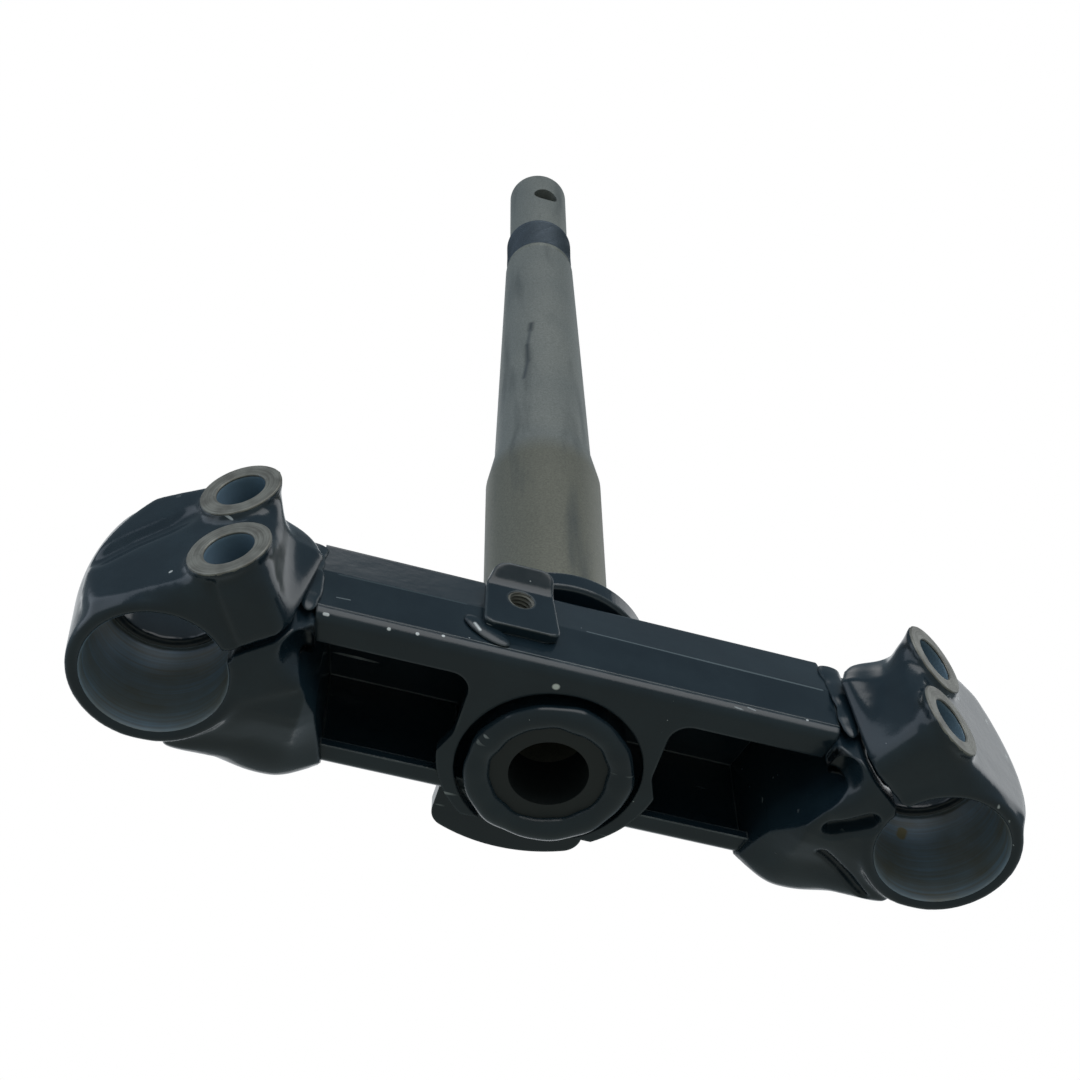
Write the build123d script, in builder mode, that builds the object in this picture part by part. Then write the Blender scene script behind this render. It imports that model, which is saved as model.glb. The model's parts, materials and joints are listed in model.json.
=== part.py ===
from build123d import *
import os
from math import cos, radians, sin

# Lower fork clamp of a motorcycle: a welded bridge, two split fork clamps and a steering stem.
# Millimetres, +Z up along the steering stem, -Y to the front of the machine, +X to the right of
# someone who looks at it from the front.  The origin is on the stem axis, in the face of the lower
# bearing seat.  Names that end in RISE are heights above the lower rims of the fork clamps.

os.makedirs("parts", exist_ok=True)

# datum
SEAT_RISE = 55.7        # bearing seat face above the clamp rims
BIG = 200.0             # reach of cutting blocks past the part

# steering stem, a turned tube
STEM_FOOT_RISE = 10.4
STEM_FOOT_R = 14.4      # flat end face, inside the welding chamfer
PRESS_R = 16.0          # length pressed into the hub and the bearing seat
JOURNAL_R = 15.7
JOURNAL_TOP_RISE = 130.0
CONE_TOP_RISE = 145.0
SHAFT_LOW_R = 13.5
SHAFT_TOP_R = 10.8
SHAFT_TOP_RISE = 262.0
RELIEF_R = 9.9
RELIEF_LENGTH = 2.2
THREAD_R = 10.5
THREAD_LENGTH = 17.4
HEAD_R = 9.5
STEM_TOP_RISE = 321.6
HEAD_CHAMFER = 1.8
STEM_BORE_R = 9.2
STEM_BORE_LENGTH = 150.0
HEAD_BORE_R = 6.0
CROSS_HOLE_R = 4.0
CROSS_HOLE_DROP = 16.6  # below the top of the stem

# hub tube that carries the stem
HUB_R = 18.2
HUB_FOOT_RISE = 11.6
HUB_TOP_RISE = 49.4

# lower bearing seat
SEAT_R = 24.9
SEAT_EDGE = 0.8

# bridge pressing and bottom plate
SHEET = 3.0
PLATE_RISE = 12.0
PLATE_ROUND = 2.8
FRONT_Y = -28.0
CREASE_RISE = 28.3
TOP_FRONT_Y = -24.0
TOP_RISE = 45.5
TOP_ROUND = 3.5
REAR_Y = 13.5
LIP_Y = 7.6             # edge of the turned-in rear flange
LIP_STEP = 0.5          # the flange lies this far above the plate's face
LOBE_R = 25.0           # round lobe over the stop
SEAM_X = 53.3           # plane where a clamp meets the bridge, at y = 0
SEAM_SLOPE = 0.265      # the seam runs inward toward the rear
HUB_HOLE_R = 21.6
PRONG_R = 26.2
PRONG_Y = -2.6
PRONG_END_Y = 18.3
WEB_HALF_WIDTH = 29.0   # web between the strip and the prongs
WEB_REAR_Y = -12.0

# inner ends of the two windows
WINDOW_IN_X = 23.4
WINDOW_FRONT_Y = -20.6
WINDOW_KNEE_Y = -4.0
WINDOW_REAR_Y = 7.6
WINDOW_REAR_X = 28.2
WINDOW_ROUND = 5.0

# fork clamps, forgings that are widest near a parting plane
FORK_X = 90.7
FORK_Y = -11.0
BORE_R = 15.5
BORE_CHAMFER = 1.0
SHOULDER_RISE = 30.5    # the fork tube stops at this shoulder
SHOULDER_R = 13.2
PARTING_RISE = 20.0
CLAMP_RISE = 42.6       # top of the clamps
RING_RIM_R = 18.7       # ring at the lower rim, at the parting plane, above it and at the top
RING_R = 19.7
RING_CROWN_R = 18.7
RING_CROWN_RISE = 32.5
RING_TOP_R = 16.2
RING_TOP_RISE = 42.0
EAR_N = 19.2            # front of the lug from the bore axis, along the bolt
EAR_FRONT_EDGE = 2.6    # edges of the lug's front are broken this much
EAR_END_U = 31.2        # inner end of the lug, from the bore axis
EAR_END_ROUND = 12.0
EAR_FOOT_ROUND = 4.5
EAR_FOOT_RISE = 0.3
NOSE_RIM_U = -8.0       # outer end of the lug at the rim, at the parting plane and at the top
NOSE_U = -12.0
NOSE_TOP_U = 1.0
LUG_BACK_N = -12.0
BOLT_ANGLE = 31.0       # pinch bolts, from straight ahead toward the outside
BOLT_U = 22.8           # bolt line from the bore axis, along the lug
BOLT_LOW_RISE = 9.6
BOLT_HIGH_RISE = 32.4
BOLT_HOLE_R = 5.6
BOLT_TAP_R = 4.25
BOLT_TAP_LENGTH = 17.0
SPOT_N = 20.9           # spot face from the bore axis, along the bolt
SPOT_R = 10.0
BOSS_LENGTH = 5.0
BOSS_TAPER = 3.0        # the bosses narrow toward the slot
SLOT_ANGLE = 37.5
SLOT_WIDTH = 3.0
SLOT_LENGTH = 60.0

# necks that flare from the clamps to the bridge: root at the ring, waist, and the seam
NECK_EDGE = 1.8         # edges of the neck are broken this much
ROOT_X = 5.0            # from the fork axis toward the stem
ROOT_FRONT = 11.0       # from the fork axis to the front
ROOT_KEEL = 12.0        # from the fork axis to the rear
ROOT_REAR = 22.0
ROOT_HEEL_RISE = 4.0
ROOT_TOP_RISE = 43.5
WAIST_X = 5.5           # from the seam toward the fork axis
WAIST_LENGTH = 8.0
WAIST_STEP = 1.5        # the waist stands back from the bridge's front
WAIST_KEEL_Y = -5.5
WAIST_REAR_Y = 17.4
WAIST_RISE = 1.0
WAIST_HEEL_RISE = 10.0
WAIST_TOP_RISE = 44.0
SEAM_KEEL_Y = 1.0
SEAM_PAST = 6.0         # the neck is lofted this far past the seam and cut there
POCKET_OUT_X = 9.4      # hollow of the left neck, from the seam toward the fork axis
POCKET_IN_X = 13.0
POCKET_FRONT_Y = -21.0
POCKET_TOP_RISE = 39.0
POCKET_REAR_Y = 6.0
POCKET_REAR_X = 5.3
RIGHT_POCKET_MORE = 2.0  # the right neck is hollowed this much further out

# bent front tab with a tapped hole
TAB_X = -15.4
TAB_THICK = 2.6
TAB_FOOT_RISE = 22.0
TAB_FOLD_RISE = 38.0
TAB_TOP_RISE = 51.0
TAB_LEAN = 3.0
TAB_FOOT_WIDTH = 18.6
TAB_TOP_WIDTH = 9.8
TAB_TOP_X = 1.6         # the top stands to one side of the foot's middle
TAB_ROUND = 2.0
TAB_HOLE_R = 3.1
TAB_HOLE_RISE = 31.0

# steering stop behind the hub
STOP_R = 41.7
STOP_RISE = 30.6
STOP_THICK = 4.6
STOP_HALF_WIDTH = 18.8
STOP_ROUND = 5.0

# weld beads
BEAD_SIDES = 6
RING_BEAD_R = 16.2
RING_BEAD_SIZE = 2.3
RING_BEAD_RISE = 10.4
SEAM_BEAD_SIZE = 1.9
SEAM_BEAD_PROUD = 0.5


def up(rise):
    """Height in the part frame of a rise above the clamp rims."""
    return rise - SEAT_RISE


def lug(u, n):
    """Plan point of the left clamp from lengths along the lug and along the pinch bolt."""
    a = radians(BOLT_ANGLE)
    x = -FORK_X + u * cos(a) - n * sin(a)
    y = FORK_Y - u * sin(a) - n * cos(a)
    return (x, y)


def lug_plane(n):
    """Elevation plane of the left lug: x along the lug, y up from the rim, facing the bolt heads."""
    a = radians(BOLT_ANGLE)
    return Plane(origin=(*lug(0, n), up(0)), x_dir=(cos(a), -sin(a), 0), z_dir=(-sin(a), -cos(a), 0))


def lug_axis():
    """Axis of the pinch bolts, toward their heads."""
    a = radians(BOLT_ANGLE)
    return Axis((0, 0, 0), (-sin(a), -cos(a), 0))


def bolt_plane(n, rise):
    """Plane across a pinch bolt of the left clamp, facing the bolt head."""
    a = radians(BOLT_ANGLE)
    return Plane(origin=(*lug(BOLT_U, n), up(rise)), z_dir=(-sin(a), -cos(a), 0))


def pocket(side, more):
    """Plan corners of the hollow in a neck, on the left (-1) or right (1) side."""
    return (
        (side * (SEAM_X + POCKET_OUT_X + more), POCKET_FRONT_Y),
        (side * (SEAM_X - POCKET_IN_X), POCKET_FRONT_Y),
        (side * (SEAM_X - POCKET_IN_X), POCKET_REAR_Y),
        (side * (SEAM_X - POCKET_REAR_X + more), POCKET_REAR_Y),
    )


def slot(along, across):
    """Plan point of the left clamp from lengths along and in front of the slot's front face."""
    a = radians(SLOT_ANGLE)
    x = -FORK_X + along * cos(a) - across * sin(a)
    y = FORK_Y - along * sin(a) - across * cos(a)
    return (x, y)


def seam(y):
    """Left seam between bridge and clamp at a given y."""
    return -SEAM_X + SEAM_SLOPE * y


# turned stem, one profile with its stepped bore
with BuildPart() as steering_stem:
    with BuildSketch(Plane.XZ):
        with BuildLine():
            Polyline(
                (STEM_BORE_R, up(STEM_FOOT_RISE)),
                (STEM_FOOT_R, up(STEM_FOOT_RISE)),
                (PRESS_R, up(STEM_FOOT_RISE + PRESS_R - STEM_FOOT_R)),
                (PRESS_R, up(SEAT_RISE)),
                (JOURNAL_R, up(SEAT_RISE)),
                (JOURNAL_R, up(JOURNAL_TOP_RISE)),
                (SHAFT_LOW_R, up(CONE_TOP_RISE)),
                (SHAFT_TOP_R, up(SHAFT_TOP_RISE)),
                (RELIEF_R, up(SHAFT_TOP_RISE + SHAFT_TOP_R - RELIEF_R)),
                (RELIEF_R, up(SHAFT_TOP_RISE + RELIEF_LENGTH)),
                (THREAD_R, up(SHAFT_TOP_RISE + RELIEF_LENGTH + THREAD_R - RELIEF_R)),
                (THREAD_R, up(SHAFT_TOP_RISE + RELIEF_LENGTH + THREAD_LENGTH)),
                (HEAD_R, up(SHAFT_TOP_RISE + RELIEF_LENGTH + THREAD_LENGTH + THREAD_R - HEAD_R)),
                (HEAD_R, up(STEM_TOP_RISE - HEAD_CHAMFER)),
                (HEAD_R - HEAD_CHAMFER, up(STEM_TOP_RISE)),
                (HEAD_BORE_R, up(STEM_TOP_RISE)),
                (HEAD_BORE_R, up(STEM_FOOT_RISE + STEM_BORE_LENGTH + STEM_BORE_R - HEAD_BORE_R)),
                (STEM_BORE_R, up(STEM_FOOT_RISE + STEM_BORE_LENGTH)),
                close=True,
            )
        make_face()
    revolve(axis=Axis.Z)
    with Locations(Location((0, 0, up(STEM_TOP_RISE - CROSS_HOLE_DROP)), (90, 0, 0))):
        Cylinder(CROSS_HOLE_R, 4 * THREAD_R, mode=Mode.SUBTRACT)

# hub tube round the stem
with BuildPart() as stem_hub:
    with Locations((0, 0, up(HUB_FOOT_RISE))):
        Cylinder(HUB_R, HUB_TOP_RISE - HUB_FOOT_RISE, align=(Align.CENTER, Align.CENTER, Align.MIN))
    Cylinder(PRESS_R, BIG, mode=Mode.SUBTRACT)

# seat for the lower bearing and its dust seal
with BuildPart() as bearing_seat:
    with BuildSketch(Plane.XZ):
        with BuildLine():
            Polyline(
                (PRESS_R, up(HUB_TOP_RISE)),
                (SEAT_R - SEAT_EDGE, up(HUB_TOP_RISE)),
                (SEAT_R, up(HUB_TOP_RISE + SEAT_EDGE)),
                (SEAT_R, up(SEAT_RISE - SEAT_EDGE)),
                (SEAT_R - SEAT_EDGE, up(SEAT_RISE)),
                (PRESS_R, up(SEAT_RISE)),
                close=True,
            )
        make_face()
    revolve(axis=Axis.Z)

# bridge pressing, open below, with a rear flange and a round lobe behind the hub
with BuildPart() as bridge:
    with BuildSketch(Plane.YZ):
        with BuildLine():
            Polyline(
                (FRONT_Y, up(PLATE_RISE + SHEET)),
                (FRONT_Y, up(CREASE_RISE)),
                (TOP_FRONT_Y, up(TOP_RISE)),
                (REAR_Y, up(TOP_RISE)),
                (REAR_Y, up(PLATE_RISE + LIP_STEP)),
                (LIP_Y, up(PLATE_RISE + LIP_STEP)),
                (LIP_Y, up(PLATE_RISE + SHEET)),
                close=True,
            )
        make_face()
    extrude(amount=FORK_X, both=True)
    fillet(bridge.edges().filter_by(Axis.X).group_by(Axis.Z)[0].sort_by(Axis.Y)[-1], PLATE_ROUND)
    with BuildSketch(Plane.XY.offset(up(STOP_RISE + STOP_THICK))):
        Circle(LOBE_R)
        Rectangle(4 * LOBE_R, BIG, align=(Align.CENTER, Align.MAX), mode=Mode.SUBTRACT)
    extrude(amount=TOP_RISE - STOP_RISE - STOP_THICK)
    fillet(bridge.faces().sort_by(Axis.Z)[-1].edges(), TOP_ROUND)
    with BuildSketch(Plane.YZ):
        with BuildLine():
            Polyline(
                (FRONT_Y + SHEET, up(PLATE_RISE + SHEET)),
                (FRONT_Y + SHEET, up(CREASE_RISE)),
                (TOP_FRONT_Y + SHEET, up(TOP_RISE - SHEET)),
                (REAR_Y - SHEET, up(TOP_RISE - SHEET)),
                (REAR_Y - SHEET, up(PLATE_RISE + SHEET)),
                close=True,
            )
        make_face()
    extrude(amount=BIG, both=True, mode=Mode.SUBTRACT)
    with BuildSketch(Plane.XY.offset(up(STOP_RISE + STOP_THICK))):
        Circle(LOBE_R - SHEET)
        Rectangle(4 * LOBE_R, BIG, align=(Align.CENTER, Align.MAX), mode=Mode.SUBTRACT)
    extrude(amount=TOP_RISE - SHEET - STOP_RISE - STOP_THICK, mode=Mode.SUBTRACT)
    Cylinder(HUB_R, BIG, mode=Mode.SUBTRACT)
    with BuildSketch(Plane.XY.offset(up(PLATE_RISE))):
        with Locations((0, PRONG_Y)):
            Circle(PRONG_R)
    extrude(amount=SHEET, mode=Mode.SUBTRACT)
    with Locations(Location((TAB_X, FRONT_Y, up(TAB_HOLE_RISE)), (90, 0, 0))):
        Cylinder(TAB_HOLE_R, 4 * SHEET, mode=Mode.SUBTRACT)
    with BuildSketch(Plane.XY.offset(up(-BIG))):
        with BuildLine():
            Polyline(
                (seam(-BIG), -BIG), (seam(BIG), BIG), (-2 * BIG, BIG), (-2 * BIG, -BIG),
                close=True,
            )
        make_face()
        mirror(about=Plane.YZ)
    extrude(amount=2 * BIG, mode=Mode.SUBTRACT)

# bottom plate: front strip with a rounded edge and two prongs that hold the hub
with BuildPart() as bottom_plate:
    with BuildSketch(Plane.XY.offset(up(PLATE_RISE))):
        with BuildLine():
            Polyline(
                (seam(FRONT_Y), FRONT_Y), (-seam(FRONT_Y), FRONT_Y),
                (-seam(WINDOW_FRONT_Y), WINDOW_FRONT_Y), (seam(WINDOW_FRONT_Y), WINDOW_FRONT_Y),
                close=True,
            )
        make_face()
    extrude(amount=SHEET)
    fillet(bottom_plate.faces().sort_by(Axis.Z)[0].edges().sort_by(Axis.Y)[0], PLATE_ROUND)
    with BuildSketch(Plane.XY.offset(up(PLATE_RISE))):
        with Locations((0, PRONG_Y)):
            Circle(PRONG_R)
        with Locations((0, PRONG_END_Y)):
            Rectangle(4 * PRONG_R, BIG, align=(Align.CENTER, Align.MIN), mode=Mode.SUBTRACT)
        with Locations((0, WINDOW_FRONT_Y)):
            Rectangle(4 * PRONG_R, BIG, align=(Align.CENTER, Align.MAX), mode=Mode.SUBTRACT)
            Rectangle(2 * WEB_HALF_WIDTH, WEB_REAR_Y - WINDOW_FRONT_Y, align=(Align.CENTER, Align.MIN))
    extrude(amount=SHEET)
    with BuildSketch(Plane.XY.offset(up(PLATE_RISE))):
        with BuildLine():
            Polyline(
                (-SEAM_X, WINDOW_FRONT_Y), (-WINDOW_IN_X, WINDOW_FRONT_Y),
                (-WINDOW_IN_X, WINDOW_KNEE_Y), (-WINDOW_REAR_X, WINDOW_REAR_Y), (-SEAM_X, WINDOW_REAR_Y),
                close=True,
            )
        window_face = make_face()
        fillet(window_face.vertices().sort_by(Axis.X)[-2:], WINDOW_ROUND)
        mirror(about=Plane.YZ)
    extrude(amount=SHEET, mode=Mode.SUBTRACT)
    with BuildSketch(Plane.XY.offset(up(PLATE_RISE))):
        Circle(HUB_HOLE_R)
    extrude(amount=SHEET, mode=Mode.SUBTRACT)

# lug of the left clamp, in its elevation along the pinch bolts, with broken front edges
with BuildPart() as left_lug:
    with BuildSketch(lug_plane(LUG_BACK_N)):
        with BuildLine():
            ThreePointArc((NOSE_RIM_U, EAR_FOOT_RISE), (NOSE_U, PARTING_RISE), (NOSE_TOP_U, CLAMP_RISE))
            Line((NOSE_TOP_U, CLAMP_RISE), (EAR_END_U - EAR_END_ROUND, CLAMP_RISE))
            RadiusArc(
                (EAR_END_U - EAR_END_ROUND, CLAMP_RISE), (EAR_END_U, CLAMP_RISE - EAR_END_ROUND),
                EAR_END_ROUND,
            )
            Line((EAR_END_U, CLAMP_RISE - EAR_END_ROUND), (EAR_END_U, EAR_FOOT_RISE + EAR_FOOT_ROUND))
            RadiusArc(
                (EAR_END_U, EAR_FOOT_RISE + EAR_FOOT_ROUND), (EAR_END_U - EAR_FOOT_ROUND, EAR_FOOT_RISE),
                EAR_FOOT_ROUND,
            )
            Line((EAR_END_U - EAR_FOOT_ROUND, EAR_FOOT_RISE), (NOSE_RIM_U, EAR_FOOT_RISE))
        make_face()
    extrude(amount=EAR_N - LUG_BACK_N)
    chamfer(left_lug.faces().sort_by(lug_axis())[-1].edges(), EAR_FRONT_EDGE)

# forging of the left fork clamp: a ring, the lug across it and a neck that flares to the bridge
with BuildPart() as clamp_forging:
    # ring with a draft both ways from the parting plane, flush with the front of the lug
    with BuildSketch(Plane.XZ.offset(-FORK_Y)):
        with BuildLine():
            Polyline(
                (-FORK_X + RING_TOP_R, up(RING_TOP_RISE)), (-FORK_X, up(RING_TOP_RISE)), (-FORK_X, up(0)),
                (-FORK_X + RING_RIM_R, up(0)), (-FORK_X + RING_R, up(PARTING_RISE)),
            )
            ThreePointArc(
                (-FORK_X + RING_R, up(PARTING_RISE)), (-FORK_X + RING_CROWN_R, up(RING_CROWN_RISE)),
                (-FORK_X + RING_TOP_R, up(RING_TOP_RISE)),
            )
        make_face()
    revolve(axis=Axis((-FORK_X, FORK_Y, 0), (0, 0, 1)))
    split(bisect_by=lug_plane(EAR_N), keep=Keep.BOTTOM)
    add(left_lug.part)
    root = (
        (FORK_Y - ROOT_FRONT, up(0)), (FORK_Y + ROOT_KEEL, up(0)),
        (FORK_Y + ROOT_REAR, up(ROOT_HEEL_RISE)), (FORK_Y + ROOT_REAR, up(ROOT_TOP_RISE)),
        (FORK_Y - ROOT_FRONT, up(ROOT_TOP_RISE)), (FORK_Y - ROOT_FRONT, up(CREASE_RISE)),
    )
    waist = (
        (FRONT_Y + WAIST_STEP, up(WAIST_RISE)), (WAIST_KEEL_Y, up(WAIST_RISE)),
        (WAIST_REAR_Y, up(WAIST_HEEL_RISE)), (REAR_Y, up(WAIST_TOP_RISE)),
        (TOP_FRONT_Y + WAIST_STEP, up(WAIST_TOP_RISE)), (FRONT_Y + WAIST_STEP, up(CREASE_RISE)),
    )
    end = (
        (FRONT_Y, up(PLATE_RISE)), (SEAM_KEEL_Y, up(PLATE_RISE)),
        (REAR_Y, up(PLATE_RISE + LIP_STEP)), (REAR_Y, up(TOP_RISE)),
        (TOP_FRONT_Y, up(TOP_RISE)), (FRONT_Y, up(CREASE_RISE)),
    )
    neck = (
        (-FORK_X + ROOT_X, root), (-SEAM_X - WAIST_X - WAIST_LENGTH, waist), (-SEAM_X - WAIST_X, waist),
        (-SEAM_X + SEAM_PAST, end),
    )
    for x, corners in neck:
        with BuildSketch(Plane.YZ.offset(x)):
            with BuildLine():
                Polyline(*corners, close=True)
            section = make_face()
            chamfer(section.vertices(), NECK_EDGE)
    loft(ruled=True)
    # pinch bosses
    with Locations(bolt_plane(SPOT_N, BOLT_LOW_RISE), bolt_plane(SPOT_N, BOLT_HIGH_RISE)):
        Cone(SPOT_R - BOSS_TAPER, SPOT_R, BOSS_LENGTH, align=(Align.CENTER, Align.CENTER, Align.MAX))
    # fork bore with its lead-in and the shoulder that stops the fork tube
    with Locations((-FORK_X, FORK_Y, up(SHOULDER_RISE))):
        Cylinder(SHOULDER_R, BIG, mode=Mode.SUBTRACT)
        Cylinder(BORE_R, BIG, align=(Align.CENTER, Align.CENTER, Align.MAX), mode=Mode.SUBTRACT)
    with Locations((-FORK_X, FORK_Y, up(0))):
        Cone(
            BORE_R + BORE_CHAMFER, BORE_R, BORE_CHAMFER,
            align=(Align.CENTER, Align.CENTER, Align.MIN), mode=Mode.SUBTRACT,
        )
    # slot
    with BuildSketch(Plane.XY.offset(up(-BIG))):
        with BuildLine():
            Polyline(
                slot(0, 0), slot(SLOT_LENGTH, 0), slot(SLOT_LENGTH, -SLOT_WIDTH), slot(0, -SLOT_WIDTH),
                close=True,
            )
        make_face()
    extrude(amount=2 * BIG, mode=Mode.SUBTRACT)
    # pinch holes: clear in the ear, tapped in the fixed half
    with Locations(bolt_plane(SPOT_N, BOLT_LOW_RISE), bolt_plane(SPOT_N, BOLT_HIGH_RISE)):
        Cylinder(BOLT_HOLE_R, SPOT_N, align=(Align.CENTER, Align.CENTER, Align.MAX), mode=Mode.SUBTRACT)
        Cylinder(
            BOLT_TAP_R, SPOT_N + BOLT_TAP_LENGTH,
            align=(Align.CENTER, Align.CENTER, Align.MAX), mode=Mode.SUBTRACT,
        )
    # seam with the bridge
    with BuildSketch(Plane.XY.offset(up(-BIG))):
        with BuildLine():
            Polyline(
                (seam(-BIG), -BIG), (seam(BIG), BIG), (2 * BIG, BIG), (2 * BIG, -BIG),
                close=True,
            )
        make_face()
    extrude(amount=2 * BIG, mode=Mode.SUBTRACT)

# hollows that carry the windows of the bridge into the necks
with BuildPart() as left_clamp:
    add(clamp_forging.part)
    with BuildSketch(Plane.XY.offset(up(-BIG))):
        with BuildLine():
            Polyline(*pocket(-1, 0), close=True)
        make_face()
    extrude(amount=BIG + POCKET_TOP_RISE, mode=Mode.SUBTRACT)

with BuildPart() as right_clamp:
    add(mirror(clamp_forging.part, about=Plane.YZ))
    with BuildSketch(Plane.XY.offset(up(-BIG))):
        with BuildLine():
            Polyline(*pocket(1, RIGHT_POCKET_MORE), close=True)
        make_face()
    extrude(amount=BIG + POCKET_TOP_RISE, mode=Mode.SUBTRACT)

# front tab: upright foot, bent top
with BuildPart() as front_tab:
    with BuildSketch(Plane.YZ):
        with BuildLine():
            Polyline(
                (FRONT_Y, up(TAB_FOOT_RISE)), (FRONT_Y, up(TAB_FOLD_RISE)),
                (FRONT_Y + TAB_LEAN, up(TAB_TOP_RISE)),
                (FRONT_Y + TAB_LEAN - TAB_THICK, up(TAB_TOP_RISE)),
                (FRONT_Y - TAB_THICK, up(TAB_FOLD_RISE)), (FRONT_Y - TAB_THICK, up(TAB_FOOT_RISE)),
                close=True,
            )
        make_face()
    extrude(amount=BIG, both=True)
    with BuildSketch(Plane.XZ.offset(BIG)):
        with BuildLine():
            Polyline(
                (TAB_X - TAB_FOOT_WIDTH / 2, up(TAB_FOOT_RISE)),
                (TAB_X + TAB_FOOT_WIDTH / 2, up(TAB_FOOT_RISE)),
                (TAB_X + TAB_TOP_X + TAB_TOP_WIDTH / 2, up(TAB_TOP_RISE)),
                (TAB_X + TAB_TOP_X - TAB_TOP_WIDTH / 2, up(TAB_TOP_RISE)),
                close=True,
            )
        tab_face = make_face()
        fillet(tab_face.vertices(), TAB_ROUND)
    extrude(amount=-2 * BIG, mode=Mode.INTERSECT)
    with Locations(Location((TAB_X, FRONT_Y, up(TAB_HOLE_RISE)), (90, 0, 0))):
        Cylinder(TAB_HOLE_R, 4 * TAB_THICK, mode=Mode.SUBTRACT)

# steering stop, a tongue behind the bridge that reaches in to the hub
with BuildPart() as steering_stop:
    with BuildSketch(Plane.XY.offset(up(STOP_RISE))):
        Circle(STOP_R)
        Rectangle(2 * STOP_HALF_WIDTH, 2 * BIG, mode=Mode.INTERSECT)
        with Locations((0, REAR_Y)):
            Rectangle(BIG, BIG, align=(Align.CENTER, Align.MAX), mode=Mode.SUBTRACT)
    extrude(amount=STOP_THICK)
    fillet(steering_stop.edges().filter_by(Axis.Z).sort_by(Axis.Y)[-2:], STOP_ROUND)
    Cylinder(HUB_R, BIG, mode=Mode.SUBTRACT)

# weld bead round the foot of the stem
with BuildPart() as stem_weld:
    with BuildSketch(Plane.XZ):
        with Locations((RING_BEAD_R, up(RING_BEAD_RISE))):
            RegularPolygon(RING_BEAD_SIZE, BEAD_SIDES)
    revolve(axis=Axis.Z)
    add(steering_stem.part, mode=Mode.SUBTRACT)
    add(stem_hub.part, mode=Mode.SUBTRACT)

# weld bead at the front of each seam
with BuildPart() as left_weld:
    with BuildLine():
        seam_path = Polyline(
            (seam(FRONT_Y), FRONT_Y - SEAM_BEAD_PROUD, up(PLATE_RISE + SHEET)),
            (seam(FRONT_Y), FRONT_Y - SEAM_BEAD_PROUD, up(CREASE_RISE)),
            (seam(TOP_FRONT_Y), TOP_FRONT_Y - SEAM_BEAD_PROUD, up(TOP_RISE - TOP_ROUND)),
        )
    with BuildSketch(Plane(origin=seam_path @ 0, z_dir=seam_path % 0)):
        Circle(SEAM_BEAD_SIZE)
    sweep(transition=Transition.ROUND)
    add(left_clamp.part, mode=Mode.SUBTRACT)
    add(bridge.part, mode=Mode.SUBTRACT)
    add(bottom_plate.part, mode=Mode.SUBTRACT)

with BuildPart() as right_weld:
    add(mirror(left_weld.part, about=Plane.YZ))

steering_stem.part.label = "steering_stem"
stem_hub.part.label = "stem_hub"
bearing_seat.part.label = "bearing_seat"
bridge.part.label = "bridge"
bottom_plate.part.label = "bottom_plate"
left_clamp.part.label = "left_clamp"
right_clamp.part.label = "right_clamp"
front_tab.part.label = "front_tab"
steering_stop.part.label = "steering_stop"
stem_weld.part.label = "stem_weld"
left_weld.part.label = "left_weld"
right_weld.part.label = "right_weld"

export_step(steering_stem.part, "parts/steering_stem.step")
export_step(stem_hub.part, "parts/stem_hub.step")
export_step(bearing_seat.part, "parts/bearing_seat.step")
export_step(bridge.part, "parts/bridge.step")
export_step(bottom_plate.part, "parts/bottom_plate.step")
export_step(left_clamp.part, "parts/left_clamp.step")
export_step(right_clamp.part, "parts/right_clamp.step")
export_step(front_tab.part, "parts/front_tab.step")
export_step(steering_stop.part, "parts/steering_stop.step")
export_step(stem_weld.part, "parts/stem_weld.step")
export_step(left_weld.part, "parts/left_weld.step")
export_step(right_weld.part, "parts/right_weld.step")
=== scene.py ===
"""Lower fork clamp of a motorcycle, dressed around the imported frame.

The forged clamps, the pressed bridge and the turned stem keep the shapes of the frame and get worked
surfaces: softened forging edges, a cut thread, rippled weld beads and machined spot faces.
"""
import json
import logging
import math
from contextlib import contextmanager
from dataclasses import dataclass, field
from enum import Enum
from functools import partial
from typing import Any, Callable, Iterator, Sequence

import bmesh
import bpy
import numpy as np
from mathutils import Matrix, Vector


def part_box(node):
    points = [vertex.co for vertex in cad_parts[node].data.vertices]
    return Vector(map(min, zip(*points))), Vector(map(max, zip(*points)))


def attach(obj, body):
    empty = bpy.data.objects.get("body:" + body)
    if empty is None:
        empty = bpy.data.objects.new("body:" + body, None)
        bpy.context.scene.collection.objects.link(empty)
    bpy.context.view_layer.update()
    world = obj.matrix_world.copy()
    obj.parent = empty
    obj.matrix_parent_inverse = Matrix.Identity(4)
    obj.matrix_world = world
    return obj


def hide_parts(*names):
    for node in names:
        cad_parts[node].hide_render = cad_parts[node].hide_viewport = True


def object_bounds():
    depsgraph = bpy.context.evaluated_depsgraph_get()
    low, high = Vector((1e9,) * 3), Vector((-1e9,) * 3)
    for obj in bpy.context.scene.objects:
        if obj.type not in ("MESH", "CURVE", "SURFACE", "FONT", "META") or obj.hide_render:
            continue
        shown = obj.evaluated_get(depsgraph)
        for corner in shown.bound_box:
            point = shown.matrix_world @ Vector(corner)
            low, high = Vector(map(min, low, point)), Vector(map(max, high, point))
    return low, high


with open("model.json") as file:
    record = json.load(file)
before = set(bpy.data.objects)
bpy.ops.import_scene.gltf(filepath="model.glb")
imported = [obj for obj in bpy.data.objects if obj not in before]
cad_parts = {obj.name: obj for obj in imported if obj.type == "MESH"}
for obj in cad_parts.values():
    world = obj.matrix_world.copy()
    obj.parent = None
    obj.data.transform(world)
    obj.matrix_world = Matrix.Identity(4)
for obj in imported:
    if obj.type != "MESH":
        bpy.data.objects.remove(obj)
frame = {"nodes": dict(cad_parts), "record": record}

CAD_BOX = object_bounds()
LOG = logging.getLogger("fork_clamp")
MM = 0.001
DOUBLE_MM = 0.001
LOOSE_MM = 0.002
SLIVER_MM = 0.02
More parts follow.
